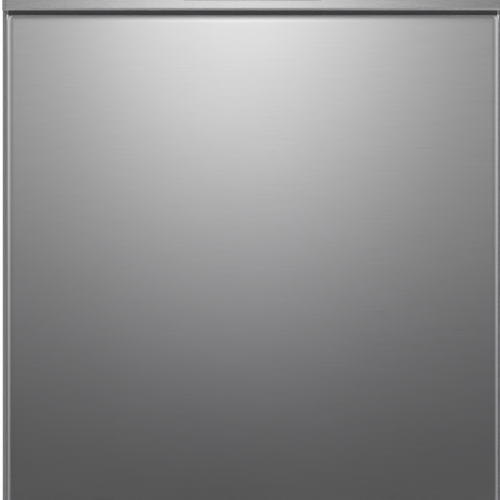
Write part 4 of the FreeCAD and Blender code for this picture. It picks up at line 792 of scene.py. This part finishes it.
class DISHWASHER_OT_spray_arms(bpy.types.Operator):
    """Two hollow spray arms with crowned blades, a boss and their jets, each jet's opening a dark disc
    of painted shade.
    """
    bl_idname = "dishwasher.spray_arms"
    bl_label = "Spray arms"

    def execute(self, context):
        wide, narrowing, thinning = 0.044, 0.41, 0.30
        bore, hub_depth = 0.0092, 0.0095
        for node in ("lower_spray_arm", "upper_spray_arm"):
            low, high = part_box(node)
            thick, reach = high.z - low.z - 0.0022, high.x
            middle = (low.z + high.z) / 2 - 0.0006
            bm = bmesh.new()
            blade = bmesh.new()
            bmesh.ops.create_cube(blade, size=1.0, matrix=Matrix.Diagonal((2 * reach, wide, thick, 1)))
            lengthwise = [edge for edge in blade.edges
                          if abs(edge.verts[0].co.x - edge.verts[1].co.x) > reach]
            bmesh.ops.subdivide_edges(blade, edges=lengthwise, cuts=15, use_grid_fill=True)
            for vert in blade.verts:
                out = abs(vert.co.x) / reach
                vert.co.y *= 1.0 - narrowing * out
                vert.co.z *= 1.0 - thinning * out ** 2
            rims = [edge for edge in blade.edges if edge.calc_face_angle(0.0) > 0.8]
            round_off(blade, rims, 0.0036, 4)
            bmesh.ops.translate(blade, verts=list(blade.verts), vec=(0, 0, middle))
            add(bm, blade)
            boss = [(0.0, high.z), (0.010, high.z), (0.0135, high.z - 0.0012),
                    (0.0250, high.z - 0.0030), (0.0265, middle), (0.0250, low.z + 0.0022),
                    (0.016, low.z), (bore, low.z), (bore, low.z + hub_depth), (0.0, low.z + hub_depth)]
            if node == "upper_spray_arm":
                boss = [(radius, low.z + high.z - level) for radius, level in reversed(boss)]
            turned(bm, boss, (0, 0, 0), steps=40)
            holes = bmesh.new()
            for side in SIDES:
                for index in range(6):
                    x = side * (0.048 + 0.028 * index)
                    y = side * 0.006 * (-1) ** index
                    top = middle + thick / 2 * (1.0 - thinning * (abs(x) / reach) ** 2)
                    turned(bm, [(0.0, top + 0.0008), (0.0030, top + 0.0008), (0.0042, top + 0.0002),
                                (0.0045, top - 0.0008), (0.0, top - 0.0008)], (x, y, 0), steps=16)
                    # A dark disc on each jet's tip is painted shade standing in for the jet's opening.
                    rod(holes, (x, y, top), (x, y, top + 0.0009), 0.0017, 12)
            name = node.replace("_arm", "")
            put(name + "_blade", bm, node, "grey_plastic", [node])
            put(name + "_jet_shade", holes, node, "grey_plastic", finish="ink_and_hole_shade")
        return {"FINISHED"}


class DISHWASHER_OT_heating_element(bpy.types.Operator):
    """Tube of the heating element, bent into a loop along the pan, on its clips."""
    bl_idname = "dishwasher.heating_element"
    bl_label = "Heating element"

    def execute(self, context):
        low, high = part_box("heating_element")
        level, clip = high.z - 0.004, 0.005
        left, right, front, rear = low.x + clip, high.x - clip, low.y + clip, high.y - clip
        bm = bmesh.new()
        hoop(bm, (left, right), (front, rear), level, 0.004, 0.030, 14, 10)
        middle = (front + rear) / 2
        for x, y in ((left, middle), (right, middle), (0.0, front), (0.0, rear)):
            block(bm, (x - clip, y - clip, low.z), (x + clip, y + clip, level), 0.0008)
        put("element_loop", bm, "cabinet", "element", ["heating_element"])
        return {"FINISHED"}


def wheel(bm, inner, width, radius, centre):
    """Moulded wheel on a level axle: hub, dished web and a rounded tread, with its mirror image."""
    part = bmesh.new()
    hub, web, lip = 0.0031, width * 0.28, width * 0.12
    half = [(hub, 0.0), (hub * 1.7, 0.0), (hub * 1.8, web), (radius * 0.74, web),
            (radius * 0.78, lip * 0.5), (radius * 0.93, 0.0), (radius, lip)]
    profile = half + [(out, width - level) for out, level in reversed(half)] + half[:1]
    turned(part, profile, (inner, *centre), (1, 0, 0), 40)
    mirror_copy(part)
    add(bm, part)


class DISHWASHER_OT_wheels(bpy.types.Operator):
    """Wheels of both racks and the rollers of the rails."""
    bl_idname = "dishwasher.wheels"
    bl_label = "Wheels"

    def execute(self, context):
        for pair, width in (("lower_wheels", 0.009), ("upper_wheels", 0.008), ("rail_rollers", 0.008)):
            for end in ("_front", "_rear"):
                node = pair + end
                low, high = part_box(node)
                centre = ((low.y + high.y) / 2, (low.z + high.z) / 2)
                bm = bmesh.new()
                wheel(bm, high.x - width, width, (high.z - low.z) / 2, centre)
                put(node + "_moulded", bm, node, "wheel_plastic", [node])
        return {"FINISHED"}


class DISHWASHER_OT_fasteners(bpy.types.Operator):
    """Flanged hexagon screws of the case and the door, and the levelling feet."""
    bl_idname = "dishwasher.fasteners"
    bl_label = "Screws and feet"

    def execute(self, context):
        head, foot = 0.003, 0.022
        flange = [(0.0, 0.0), (head, 0.0), (head, 0.0004), (0.0024, 0.0009), (0.0, 0.0009)]
        pan = [(0.0, 0.0), (head, 0.0), (0.0028, 0.0006), (0.0018, 0.0011), (0.0009, 0.00122),
               (0.0007, 0.0006), (0.0, 0.0006)]
        pad = [(0.0, 0.0), (0.019, 0.0), (0.0215, 0.0012), (foot, 0.003), (0.0205, 0.0062),
               (0.012, 0.008), (0.0062, 0.0084), (0.006, 0.0094), (0.0052, 0.0100), (0.006, 0.0108),
               (0.0052, 0.0116), (0.006, 0.0124), (0.006, 0.020), (0.0, 0.020)]
        low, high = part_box("case_screws")
        bm = bmesh.new()
        for x in (low.x + head, high.x - head):
            for z in (low.z + head, (low.z + high.z) / 2, high.z - head):
                turned(bm, flange, (x, low.y, z), (0, 1, 0), 20)
                rod(bm, (x, low.y + 0.0006, z), (x, high.y, z), 0.0021, 6, 0.0004)
        put("case_hexagons", bm, "cabinet", "screws", ["case_screws"])
        low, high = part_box("door_screws")
        bm = bmesh.new()
        for x in (low.x + head, high.x - head):
            for z in (0.328, 0.4175, 0.667):
                turned(bm, pan, (x, low.y, z), (0, 1, 0), 20)
        put("door_pan_heads", bm, "door", "screws", ["door_screws"])
        low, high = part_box("levelling_feet")
        bm = bmesh.new()
        for x in (low.x + foot, high.x - foot):
            for y in (low.y + foot, high.y - foot):
                turned(bm, pad, (x, y, 0), steps=40)
                rod(bm, (x, y, 0.0128), (x, y, 0.0178), 0.0105, 6, 0.0007)
        put("screw_feet", bm, "cabinet", "black_plastic", ["levelling_feet"])
        return {"FINISHED"}


def fluted(bm, centre, axis, radius, low, high, flutes, depth, edge):
    """Cap with a fluted rim: a disc whose rim is drawn in between its flutes."""
    part = bmesh.new()
    rod(part, (0, 0, low), (0, 0, high), radius, flutes * 4)
    for vert in part.verts:
        turn = math.atan2(vert.co.y, vert.co.x) * flutes
        draw = 1.0 - depth / radius * (0.5 - 0.5 * math.cos(turn))
        vert.co.x, vert.co.y = vert.co.x * draw, vert.co.y * draw
    round_off(part, [side for side in part.edges if side.calc_face_angle(0.0) > 1.0], edge, 3)
    part.transform(facing(centre, axis))
    add(bm, part)


class DISHWASHER_OT_caps(bpy.types.Operator):
    """Rinse aid cap, salt cap and the filter cup with its sieve."""
    bl_idname = "dishwasher.caps"
    bl_label = "Caps and filter"

    def execute(self, context):
        low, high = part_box("rinse_aid_cap")
        x, z = (low.x + high.x) / 2, (low.z + high.z) / 2
        skirt, crown, grip, half = -0.2402, -0.2366, 0.0195, 0.0042
        bm = bmesh.new()
        fluted(bm, (x, 0, z), (0, 1, 0), 0.024, skirt, crown, 20, 0.0008, 0.0008)
        rod(bm, (x, low.y, z), (x, skirt + 0.0002, z), 0.018, 40)
        block(bm, (x - grip, crown - 0.0004, z - half), (x + grip, high.y, z + half), 0.0014, 3)
        put("rinse_cap", bm, "rinse_aid_cap", "white_plastic", ["rinse_aid_cap"])
        low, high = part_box("salt_cap")
        x, y = (low.x + high.x) / 2, (low.y + high.y) / 2
        skirt, crown, grip, half = 0.1543, 0.1596, 0.027, 0.0048
        bm = bmesh.new()
        fluted(bm, (x, y, 0), (0, 0, 1), 0.034, skirt, crown, 24, 0.0012, 0.001)
        rod(bm, (x, y, low.z), (x, y, skirt + 0.0003), 0.024, 48)
        block(bm, (x - grip, y - half, crown - 0.0006), (x + grip, y + half, high.z), 0.0014, 3)
        put("salt_lid", bm, "salt_cap", "white_plastic", ["salt_cap"])
        low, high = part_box("filter_cup")
        x, rim, radius, inner, bars, top = 0.055, 0.036, 0.030, 0.026, 14, 0.1525
        bm = bmesh.new()
        collar = [(inner, 0.1519), (rim - 0.0008, 0.1519), (rim, 0.1526), (rim, 0.1550),
                  (rim - 0.0010, 0.1559), (inner + 0.001, 0.1559), (inner, 0.1550), (inner, 0.1519)]
        turned(bm, collar, (x, 0, 0), steps=56)
        for level in (low.z, 0.1135, 0.1265, 0.1395):
            near, over = inner + 0.0002, level + 0.003
            turned(bm, [(near, level), (radius, level), (radius, over), (near, over), (near, level)],
                   (x, 0, 0), steps=56)
        for index in range(bars):
            turn = math.tau * index / bars
            spot = (x + 0.0285 * math.cos(turn), 0.0285 * math.sin(turn))
            rod(bm, (*spot, low.z + 0.001), (*spot, top - 0.0001), 0.0013, 8)
        block(bm, (x - 0.029, -0.0025, top), (x + 0.029, 0.0025, high.z), 0.0012, 3)
        put("filter_frame", bm, "filter_cup", "grey_plastic", ["filter_cup"])
        under, floor, outer, inner = low.z + 0.0006, low.z + 0.0012, 0.0275, 0.0270
        bm = bmesh.new()
        sieve = [(0.0, under), (outer, under), (outer, top), (inner, top), (inner, floor),
                 (0.0, floor)]
        turned(bm, sieve, (x, 0, 0), steps=56)
        put("filter_sieve", bm, "filter_cup", "tub_steel", finish="sieve_steel")
        return {"FINISHED"}


SEGMENTS = {"1": "bc", "2": "abged", "5": "afgcd", "8": "abcdefg"}


def digit(bm, figure, centre, face, height, depth):
    """Seven-segment figure standing proud of an upright face."""
    half, bar = height * 0.25, height * 0.055
    places = {"a": (0, 1, 1), "g": (0, 0, 1), "d": (0, -1, 1), "f": (-1, 0.5, 0), "b": (1, 0.5, 0),
              "e": (-1, -0.5, 0), "c": (1, -0.5, 0)}
    for name in SEGMENTS[figure]:
        across, up, level = places[name]
        x, z = centre[0] + across * half, centre[1] + up * height / 2
        wide, tall = (half - bar, bar) if level else (bar, height / 4 - bar)
        block(bm, (x - wide, face - depth, z - tall), (x + wide, face + depth, z + tall))


class DISHWASHER_OT_controls(bpy.types.Operator):
    """Buttons with plain marks, their lamps, and the figures on the display."""
    bl_idname = "dishwasher.controls"
    bl_label = "Controls"

    def execute(self, context):
        sizes = context.scene.dishwasher_door
        wide, tall, deep, bar, thin = 0.009, 0.005, 0.0058, 0.00028, 0.000224
        ring_inner, ring_outer = 0.0017, 0.0021
        for node in ("power_button", "program_button", "timer_button", "start_button"):
            low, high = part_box(node)
            middle = Vector(((low.x + high.x) / 2, low.y, (low.z + high.z) / 2))
            bm = bmesh.new()
            corners = middle - Vector((wide, 0, tall)), middle + Vector((wide, deep, tall))
            block(bm, *corners, 0.0011, 4)
            put(node + "_cap", bm, node, "buttons", [node])
            bm = bmesh.new()
            face = low.y - sizes.mark, low.y + sizes.mark

            def stroke(x0, z0, x1, z1):
                block(bm, (middle.x + x0, face[0], middle.z + z0),
                      (middle.x + x1, face[1], middle.z + z1))

            if node in ("power_button", "timer_button"):
                ring = [(ring_inner, face[0]), (ring_outer, face[0]), (ring_outer, face[1]),
                        (ring_inner, face[1]), (ring_inner, face[0])]
                turned(bm, ring, (middle.x, 0, middle.z), (0, 1, 0), 32)
            if node == "power_button":
                stroke(-bar, 0.0004, bar, 0.0027)
            elif node == "program_button":
                for level in (-0.0014, 0.0, 0.0014):
                    stroke(-0.0022, level - bar, 0.0022, level + bar)
            elif node == "timer_button":
                stroke(-thin, 0.0, thin, 0.0014)
                stroke(0.0, -thin, 0.0011, thin)
            else:
                part = bmesh.new()
                bmesh.ops.create_cone(part, cap_ends=True, segments=3, radius1=0.0024, radius2=0.0024,
                                      depth=2 * sizes.mark)
                part.transform(Matrix.Translation(middle) @ Matrix.Rotation(math.radians(90), 4, "X")
                               @ Matrix.Rotation(math.radians(90), 4, "Z"))
                add(bm, part)
            put(node + "_mark", bm, node, "buttons", finish="ink_and_hole_shade")
        low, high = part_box("display_window")
        bm = bmesh.new()
        centre = (low.z + high.z) / 2
        for place, figure in zip((0.155, 0.1635, 0.1765, 0.185), "2158"):
            digit(bm, figure, (place, centre), low.y, 0.0108, sizes.mark)
        for side in SIDES:
            dot = Vector((0.1701, low.y, centre + side * 0.0022))
            half = Vector((0.0005, sizes.mark, 0.0005))
            block(bm, dot - half, dot + half)
        put("display_figures", bm, "door", "window", finish="glow")
        bm = bmesh.new()
        for x in (0.118, 0.216, 0.242, 0.268):
            part = bmesh.new()
            bmesh.ops.create_uvsphere(part, u_segments=16, v_segments=8, radius=sizes.lamp_radius)
            bmesh.ops.scale(part, vec=(1, 0.4, 1), verts=list(part.verts))
            part.transform(Matrix.Translation((x, -0.2985, 0.7675)))
            add(bm, part)
        put("button_lamps", bm, "door", "buttons", finish="glow")
        return {"FINISHED"}


class DISHWASHER_OT_tub_details(bpy.types.Operator):
    """Drawn corners of the tub, grip of the dispenser lid and beads of the rear panel."""
    bl_idname = "dishwasher.tub_details"
    bl_label = "Tub, lid and rear panel"

    def fillet(self, bm, start, end, inward_a, inward_b, radius):
        """Hollow corner strip between two walls, from start to end."""
        part = bmesh.new()
        start, run = Vector(start), Vector(end) - Vector(start)
        first, second = Vector(inward_a), Vector(inward_b)
        corner, rim = part.verts.new(start), part.verts.new(start + first * radius)
        spun = bmesh.ops.spin(part, geom=[rim], cent=start + (first + second) * radius,
                              axis=first.cross(second), dvec=(0, 0, 0), angle=-math.pi / 2, steps=8,
                              use_merge=False)
        for end in (rim, spun["geom_last"][0]):
            part.edges.new((corner, end))
        bmesh.ops.edgeloop_fill(part, edges=list(part.edges))
        pulled = bmesh.ops.extrude_face_region(part, geom=list(part.faces))["geom"]
        bmesh.ops.translate(part, verts=verts_in(pulled), vec=run)
        bmesh.ops.recalc_face_normals(part, faces=list(part.faces))
        add(bm, part)

    def execute(self, context):
        half, rear, ceiling, ledge, front, radius = 0.275, 0.255, 0.795, 0.172, -0.2425, 0.020
        forward, down = (0, -1, 0), (0, 0, -1)
        bm = bmesh.new()
        for side in SIDES:
            wall, inward = side * half, (-side, 0, 0)
            self.fillet(bm, (wall, rear, ledge), (wall, rear, ceiling), inward, forward, radius)
            self.fillet(bm, (wall, front, ceiling), (wall, rear, ceiling), inward, down, radius)
        self.fillet(bm, (-half, rear, ceiling), (half, rear, ceiling), forward, down, radius)
        put("tub_corners", bm, "cabinet", "tub_steel")
        low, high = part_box("dispenser_lid")
        bm = bmesh.new()
        inset, ribs, pitch = 0.014, 6, 0.005
        for index in range(ribs):
            z = low.z + 0.010 + pitch * index
            block(bm, (low.x + inset, high.y - 0.0004, z),
                  (high.x - inset, high.y + 0.0010, z + 0.0022), 0.0006)
        put("lid_grip", bm, "dispenser_lid", "grey_plastic")
        low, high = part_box("rear_panel")
        bm = bmesh.new()
        half = 0.011
        for x in (-0.18, -0.06, 0.06, 0.18):
            block(bm, (x - half, high.y - 0.0006, 0.33),
                  (x + half, high.y + 0.0013, high.z - 0.075), 0.0012, 4)
        put("rear_beads", bm, "cabinet", "zinc_sheet")
        return {"FINISHED"}


# Stage

class DISHWASHER_OT_stage(bpy.types.Operator):
    """Pale floor, soft studio light, the card that the steel reflects, and the camera."""
    bl_idname = "dishwasher.stage"
    bl_label = "Stage"

    def sheet(self, name, places, finish, sweeps=()):
        """Flat sheets at their places, the first with its foot and head swept back where asked."""
        bm = bmesh.new()
        made = [bmesh.ops.create_grid(bm, x_segments=1, y_segments=1, size=1.0, matrix=place)["verts"]
                for place in places]
        for end, sweep in zip((min, max), sweeps):
            rim = sorted(made[0], key=lambda vert: vert.co.z, reverse=end is max)[:2]
            edges = [edge for edge in rim[0].link_edges if edge.other_vert(rim[0]) is rim[1]]
            pulled = bmesh.ops.extrude_edge_only(bm, edges=edges)["geom"]
            bmesh.ops.translate(bm, verts=verts_in(pulled), vec=(0, sweep, 0))
        piece = place_mesh(name, bm, finish)
        return piece

    def lamp(self, name, place, size, power):
        """Round soft lamp aimed at the machine's middle, not seen in reflections."""
        light = bpy.data.lights.new(name, "AREA")
        light.shape, light.size, light.energy = "DISK", size, power
        piece = bpy.data.objects.new(name, light)
        aim = Vector((0, 0, 0.4)) - Vector(place)
        piece.location = place
        piece.rotation_euler = aim.to_track_quat("-Z", "Y").to_euler()
        piece.visible_glossy = False
        bpy.context.scene.collection.objects.link(piece)

    def card_light(self, sizes, screen_end):
        """Light of the card, in first reflections only.

        It rises from the foot to the door's head, with one soft spot that fades slowly upwards. The
        card's sides, the wings beside the machine and the screens before it have light of their own.
        """
        paint = new_finish("card_light")
        spot = paint.spot()
        across, behind, height = [paint.axis(spot, index) for index in range(3)]

        door_rise, above_door, far_above = (-0.045, 0.64), (0.79, 1.4), (0.85, 2.5)
        side_across, side_rise, fascia_rise = (0.14, 0.45), (0.15, 0.70), (0.62, 0.82)
        screen_rise, cool_foot = (0.1, 0.75), (0.2, 0.6)

        def rise(span, first, second, way=height):
            return paint.node("ShaderNodeMapRange", {"interpolation_type": "SMOOTHSTEP"},
                              {"Value": way, "From Min": span[0], "From Max": span[1],
                               "To Min": first, "To Max": second})

        beside = (across - sizes.glow_side) / sizes.glow_width
        over = (height - sizes.glow_height) / sizes.glow_tall
        over = over * (1.0 - (over > 0.0) * (1.0 - sizes.glow_above))
        fading = 1.0 - (beside * beside + over * over) ** 0.5
        halo = fading * fading * (fading > 0.0)
        light = rise(door_rise, sizes.card_foot, sizes.card_head) + halo * sizes.glow_level
        light = light - rise(far_above, 0.0, sizes.card_head - sizes.card_top)
        light = light * rise(above_door, 1.0, 0.60)
        aside = across * across
        wing = aside > (sizes.card_half * 0.99) ** 2
        side = rise(side_across, 0.0, 1.0, aside) * (1.0 - wing)
        light = light + side * rise(side_rise, 0.0, sizes.card_side)
        light = light + wing * rise(fascia_rise, 0.0, sizes.wing_head)
        screen = wing * (behind < screen_end)
        light = light + screen * (rise(screen_rise, sizes.screen_foot, sizes.screen_head) - light)
        tint = paint.mix(rise(cool_foot, 0.0, 1.0), (0.965, 0.955, 1.0, 1.0), (1.0, 1.0, 1.0, 1.0))
        emitter = paint.node("ShaderNodeEmission", None, {"Color": tint, "Strength": light})
        depth = paint.node("ShaderNodeLightPath", out="Ray Depth")
        clear = paint.node("ShaderNodeBsdfTransparent")
        shown = paint.node("ShaderNodeMixShader", None, {0: depth < 1.5, 1: clear, 2: emitter})
        paint.node("ShaderNodeOutputMaterial", None, {"Surface": shown})
        return FINISHES["card_light"]

    def card(self, sizes, door):
        """The card with its foot and roof, and at each side a screen and a wing."""
        tall, lift, wing_length = 1.25, 0.003, 1.18
        screen_end = door - 0.28
        turn = Matrix.Rotation(math.radians(90), 4, "X")
        front = door - sizes.card_distance
        places = [Matrix.Translation((0, front, tall + lift))
                  @ Matrix.Diagonal((sizes.card_half, 1, tall, 1)) @ turn]
        for near, far in ((front, screen_end), (screen_end, screen_end + wing_length)):
            flank = (Matrix.Rotation(math.radians(90), 4, "Z")
                     @ Matrix.Diagonal(((far - near) / 2, 1, tall, 1)) @ turn)
            middle = (near + far) / 2
            places += [Matrix.Translation((side * sizes.card_half, middle, tall + lift)) @ flank
                       for side in SIDES]
        card = self.sheet("card", places, self.card_light(sizes, screen_end),
                          (sizes.card_distance - 0.30, sizes.card_distance + 0.90))
        card.visible_camera = card.visible_diffuse = card.visible_shadow = False
        card.visible_transmission = card.visible_volume_scatter = False

    def world_light(self, amount):
        """White behind the object and in reflections, and a softer level for matt surfaces."""
        world = bpy.data.worlds.new("studio")
        paint = Paint(world)
        rays = [paint.node("ShaderNodeLightPath", out=ray)
                for ray in ("Is Camera Ray", "Is Glossy Ray", "Is Transmission Ray")]
        seen = rays[0] + rays[1] + rays[2]
        white = seen.maths("MINIMUM", seen, 1.0)
        light = paint.node("ShaderNodeBackground", None,
                           {"Color": (1, 1, 1, 1), "Strength": white * (1.0 - amount) + amount})
        paint.node("ShaderNodeOutputWorld", None, {"Surface": light})
        return world

    def execute(self, context):
        scene = context.scene
        sizes = scene.dishwasher_stage
        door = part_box("fascia")[0].y
        paint = new_finish("floor_paint")
        paint.surface(Base_Color=opaque(scene.dishwasher_colours.floor), Roughness=0.75)
        near, far = sizes.camera_distance + 1.0, sizes.floor_behind
        middle = Matrix.Translation((0, (far - near) / 2, 0))
        self.sheet("floor", [middle @ Matrix.Scale((far + near) / 2, 4)], FINISHES["floor_paint"])
        self.card(sizes, door)
        scene.world = self.world_light(sizes.sky_level)
        self.lamp("key", (-1.6, -2.6, 2.9), 2.2, sizes.key_power)
        self.lamp("fill", (2.2, -1.8, 2.0), 2.0, sizes.key_power * 0.4)
        self.lamp("rear", (0.8, 2.8, 2.6), 2.2, sizes.key_power * 0.6)
        view = bpy.data.cameras.new("camera")
        view.lens = view.sensor_width * sizes.camera_distance / sizes.view_width
        camera = bpy.data.objects.new("camera", view)
        camera.location = (sizes.camera_side, door - sizes.camera_distance, sizes.camera_height)
        camera.rotation_euler = (math.radians(90), 0, 0)
        scene.collection.objects.link(camera)
        scene.camera = camera
        scene.view_settings.view_transform = "Standard"
        return {"FINISHED"}


# Panel and registration

STEPS = (DISHWASHER_OT_finishes, DISHWASHER_OT_door_skin, DISHWASHER_OT_groove,
         DISHWASHER_OT_lower_rack, DISHWASHER_OT_cutlery_basket, DISHWASHER_OT_upper_rack,
         DISHWASHER_OT_cup_shelves, DISHWASHER_OT_spray_arms, DISHWASHER_OT_heating_element,
         DISHWASHER_OT_wheels, DISHWASHER_OT_fasteners, DISHWASHER_OT_caps, DISHWASHER_OT_controls,
         DISHWASHER_OT_tub_details, DISHWASHER_OT_stage)
GROUPS = {"dishwasher_door": DoorSizes, "dishwasher_racks": RackSizes,
          "dishwasher_colours": FinishColours, "dishwasher_stage": StageSizes}


class DISHWASHER_PT_panel(bpy.types.Panel):
    """Steps that build the dishwasher, with their sizes and colours."""
    bl_idname = "DISHWASHER_PT_panel"
    bl_label = "Dishwasher"
    bl_space_type = "VIEW_3D"
    bl_region_type = "UI"
    bl_category = "Dishwasher"

    def draw(self, context):
        for step in STEPS:
            self.layout.operator(step.bl_idname, text=step.bl_label)
        for name, group in GROUPS.items():
            box = self.layout.box()
            for size in group.__annotations__:
                box.prop(getattr(context.scene, name), size)


def register():
    for group in GROUPS.values():
        bpy.utils.register_class(group)
    for name, group in GROUPS.items():
        setattr(bpy.types.Scene, name, PointerProperty(type=group))
    for step in STEPS:
        bpy.utils.register_class(step)
    bpy.utils.register_class(DISHWASHER_PT_panel)


def unregister():
    bpy.utils.unregister_class(DISHWASHER_PT_panel)
    for step in reversed(STEPS):
        bpy.utils.unregister_class(step)
    for name, group in GROUPS.items():
        delattr(bpy.types.Scene, name)
        bpy.utils.unregister_class(group)


def main():
    register()
    for step in STEPS:
        getattr(bpy.ops.dishwasher, step.bl_idname.split(".")[1])()


if __name__ == "__main__":
    main()
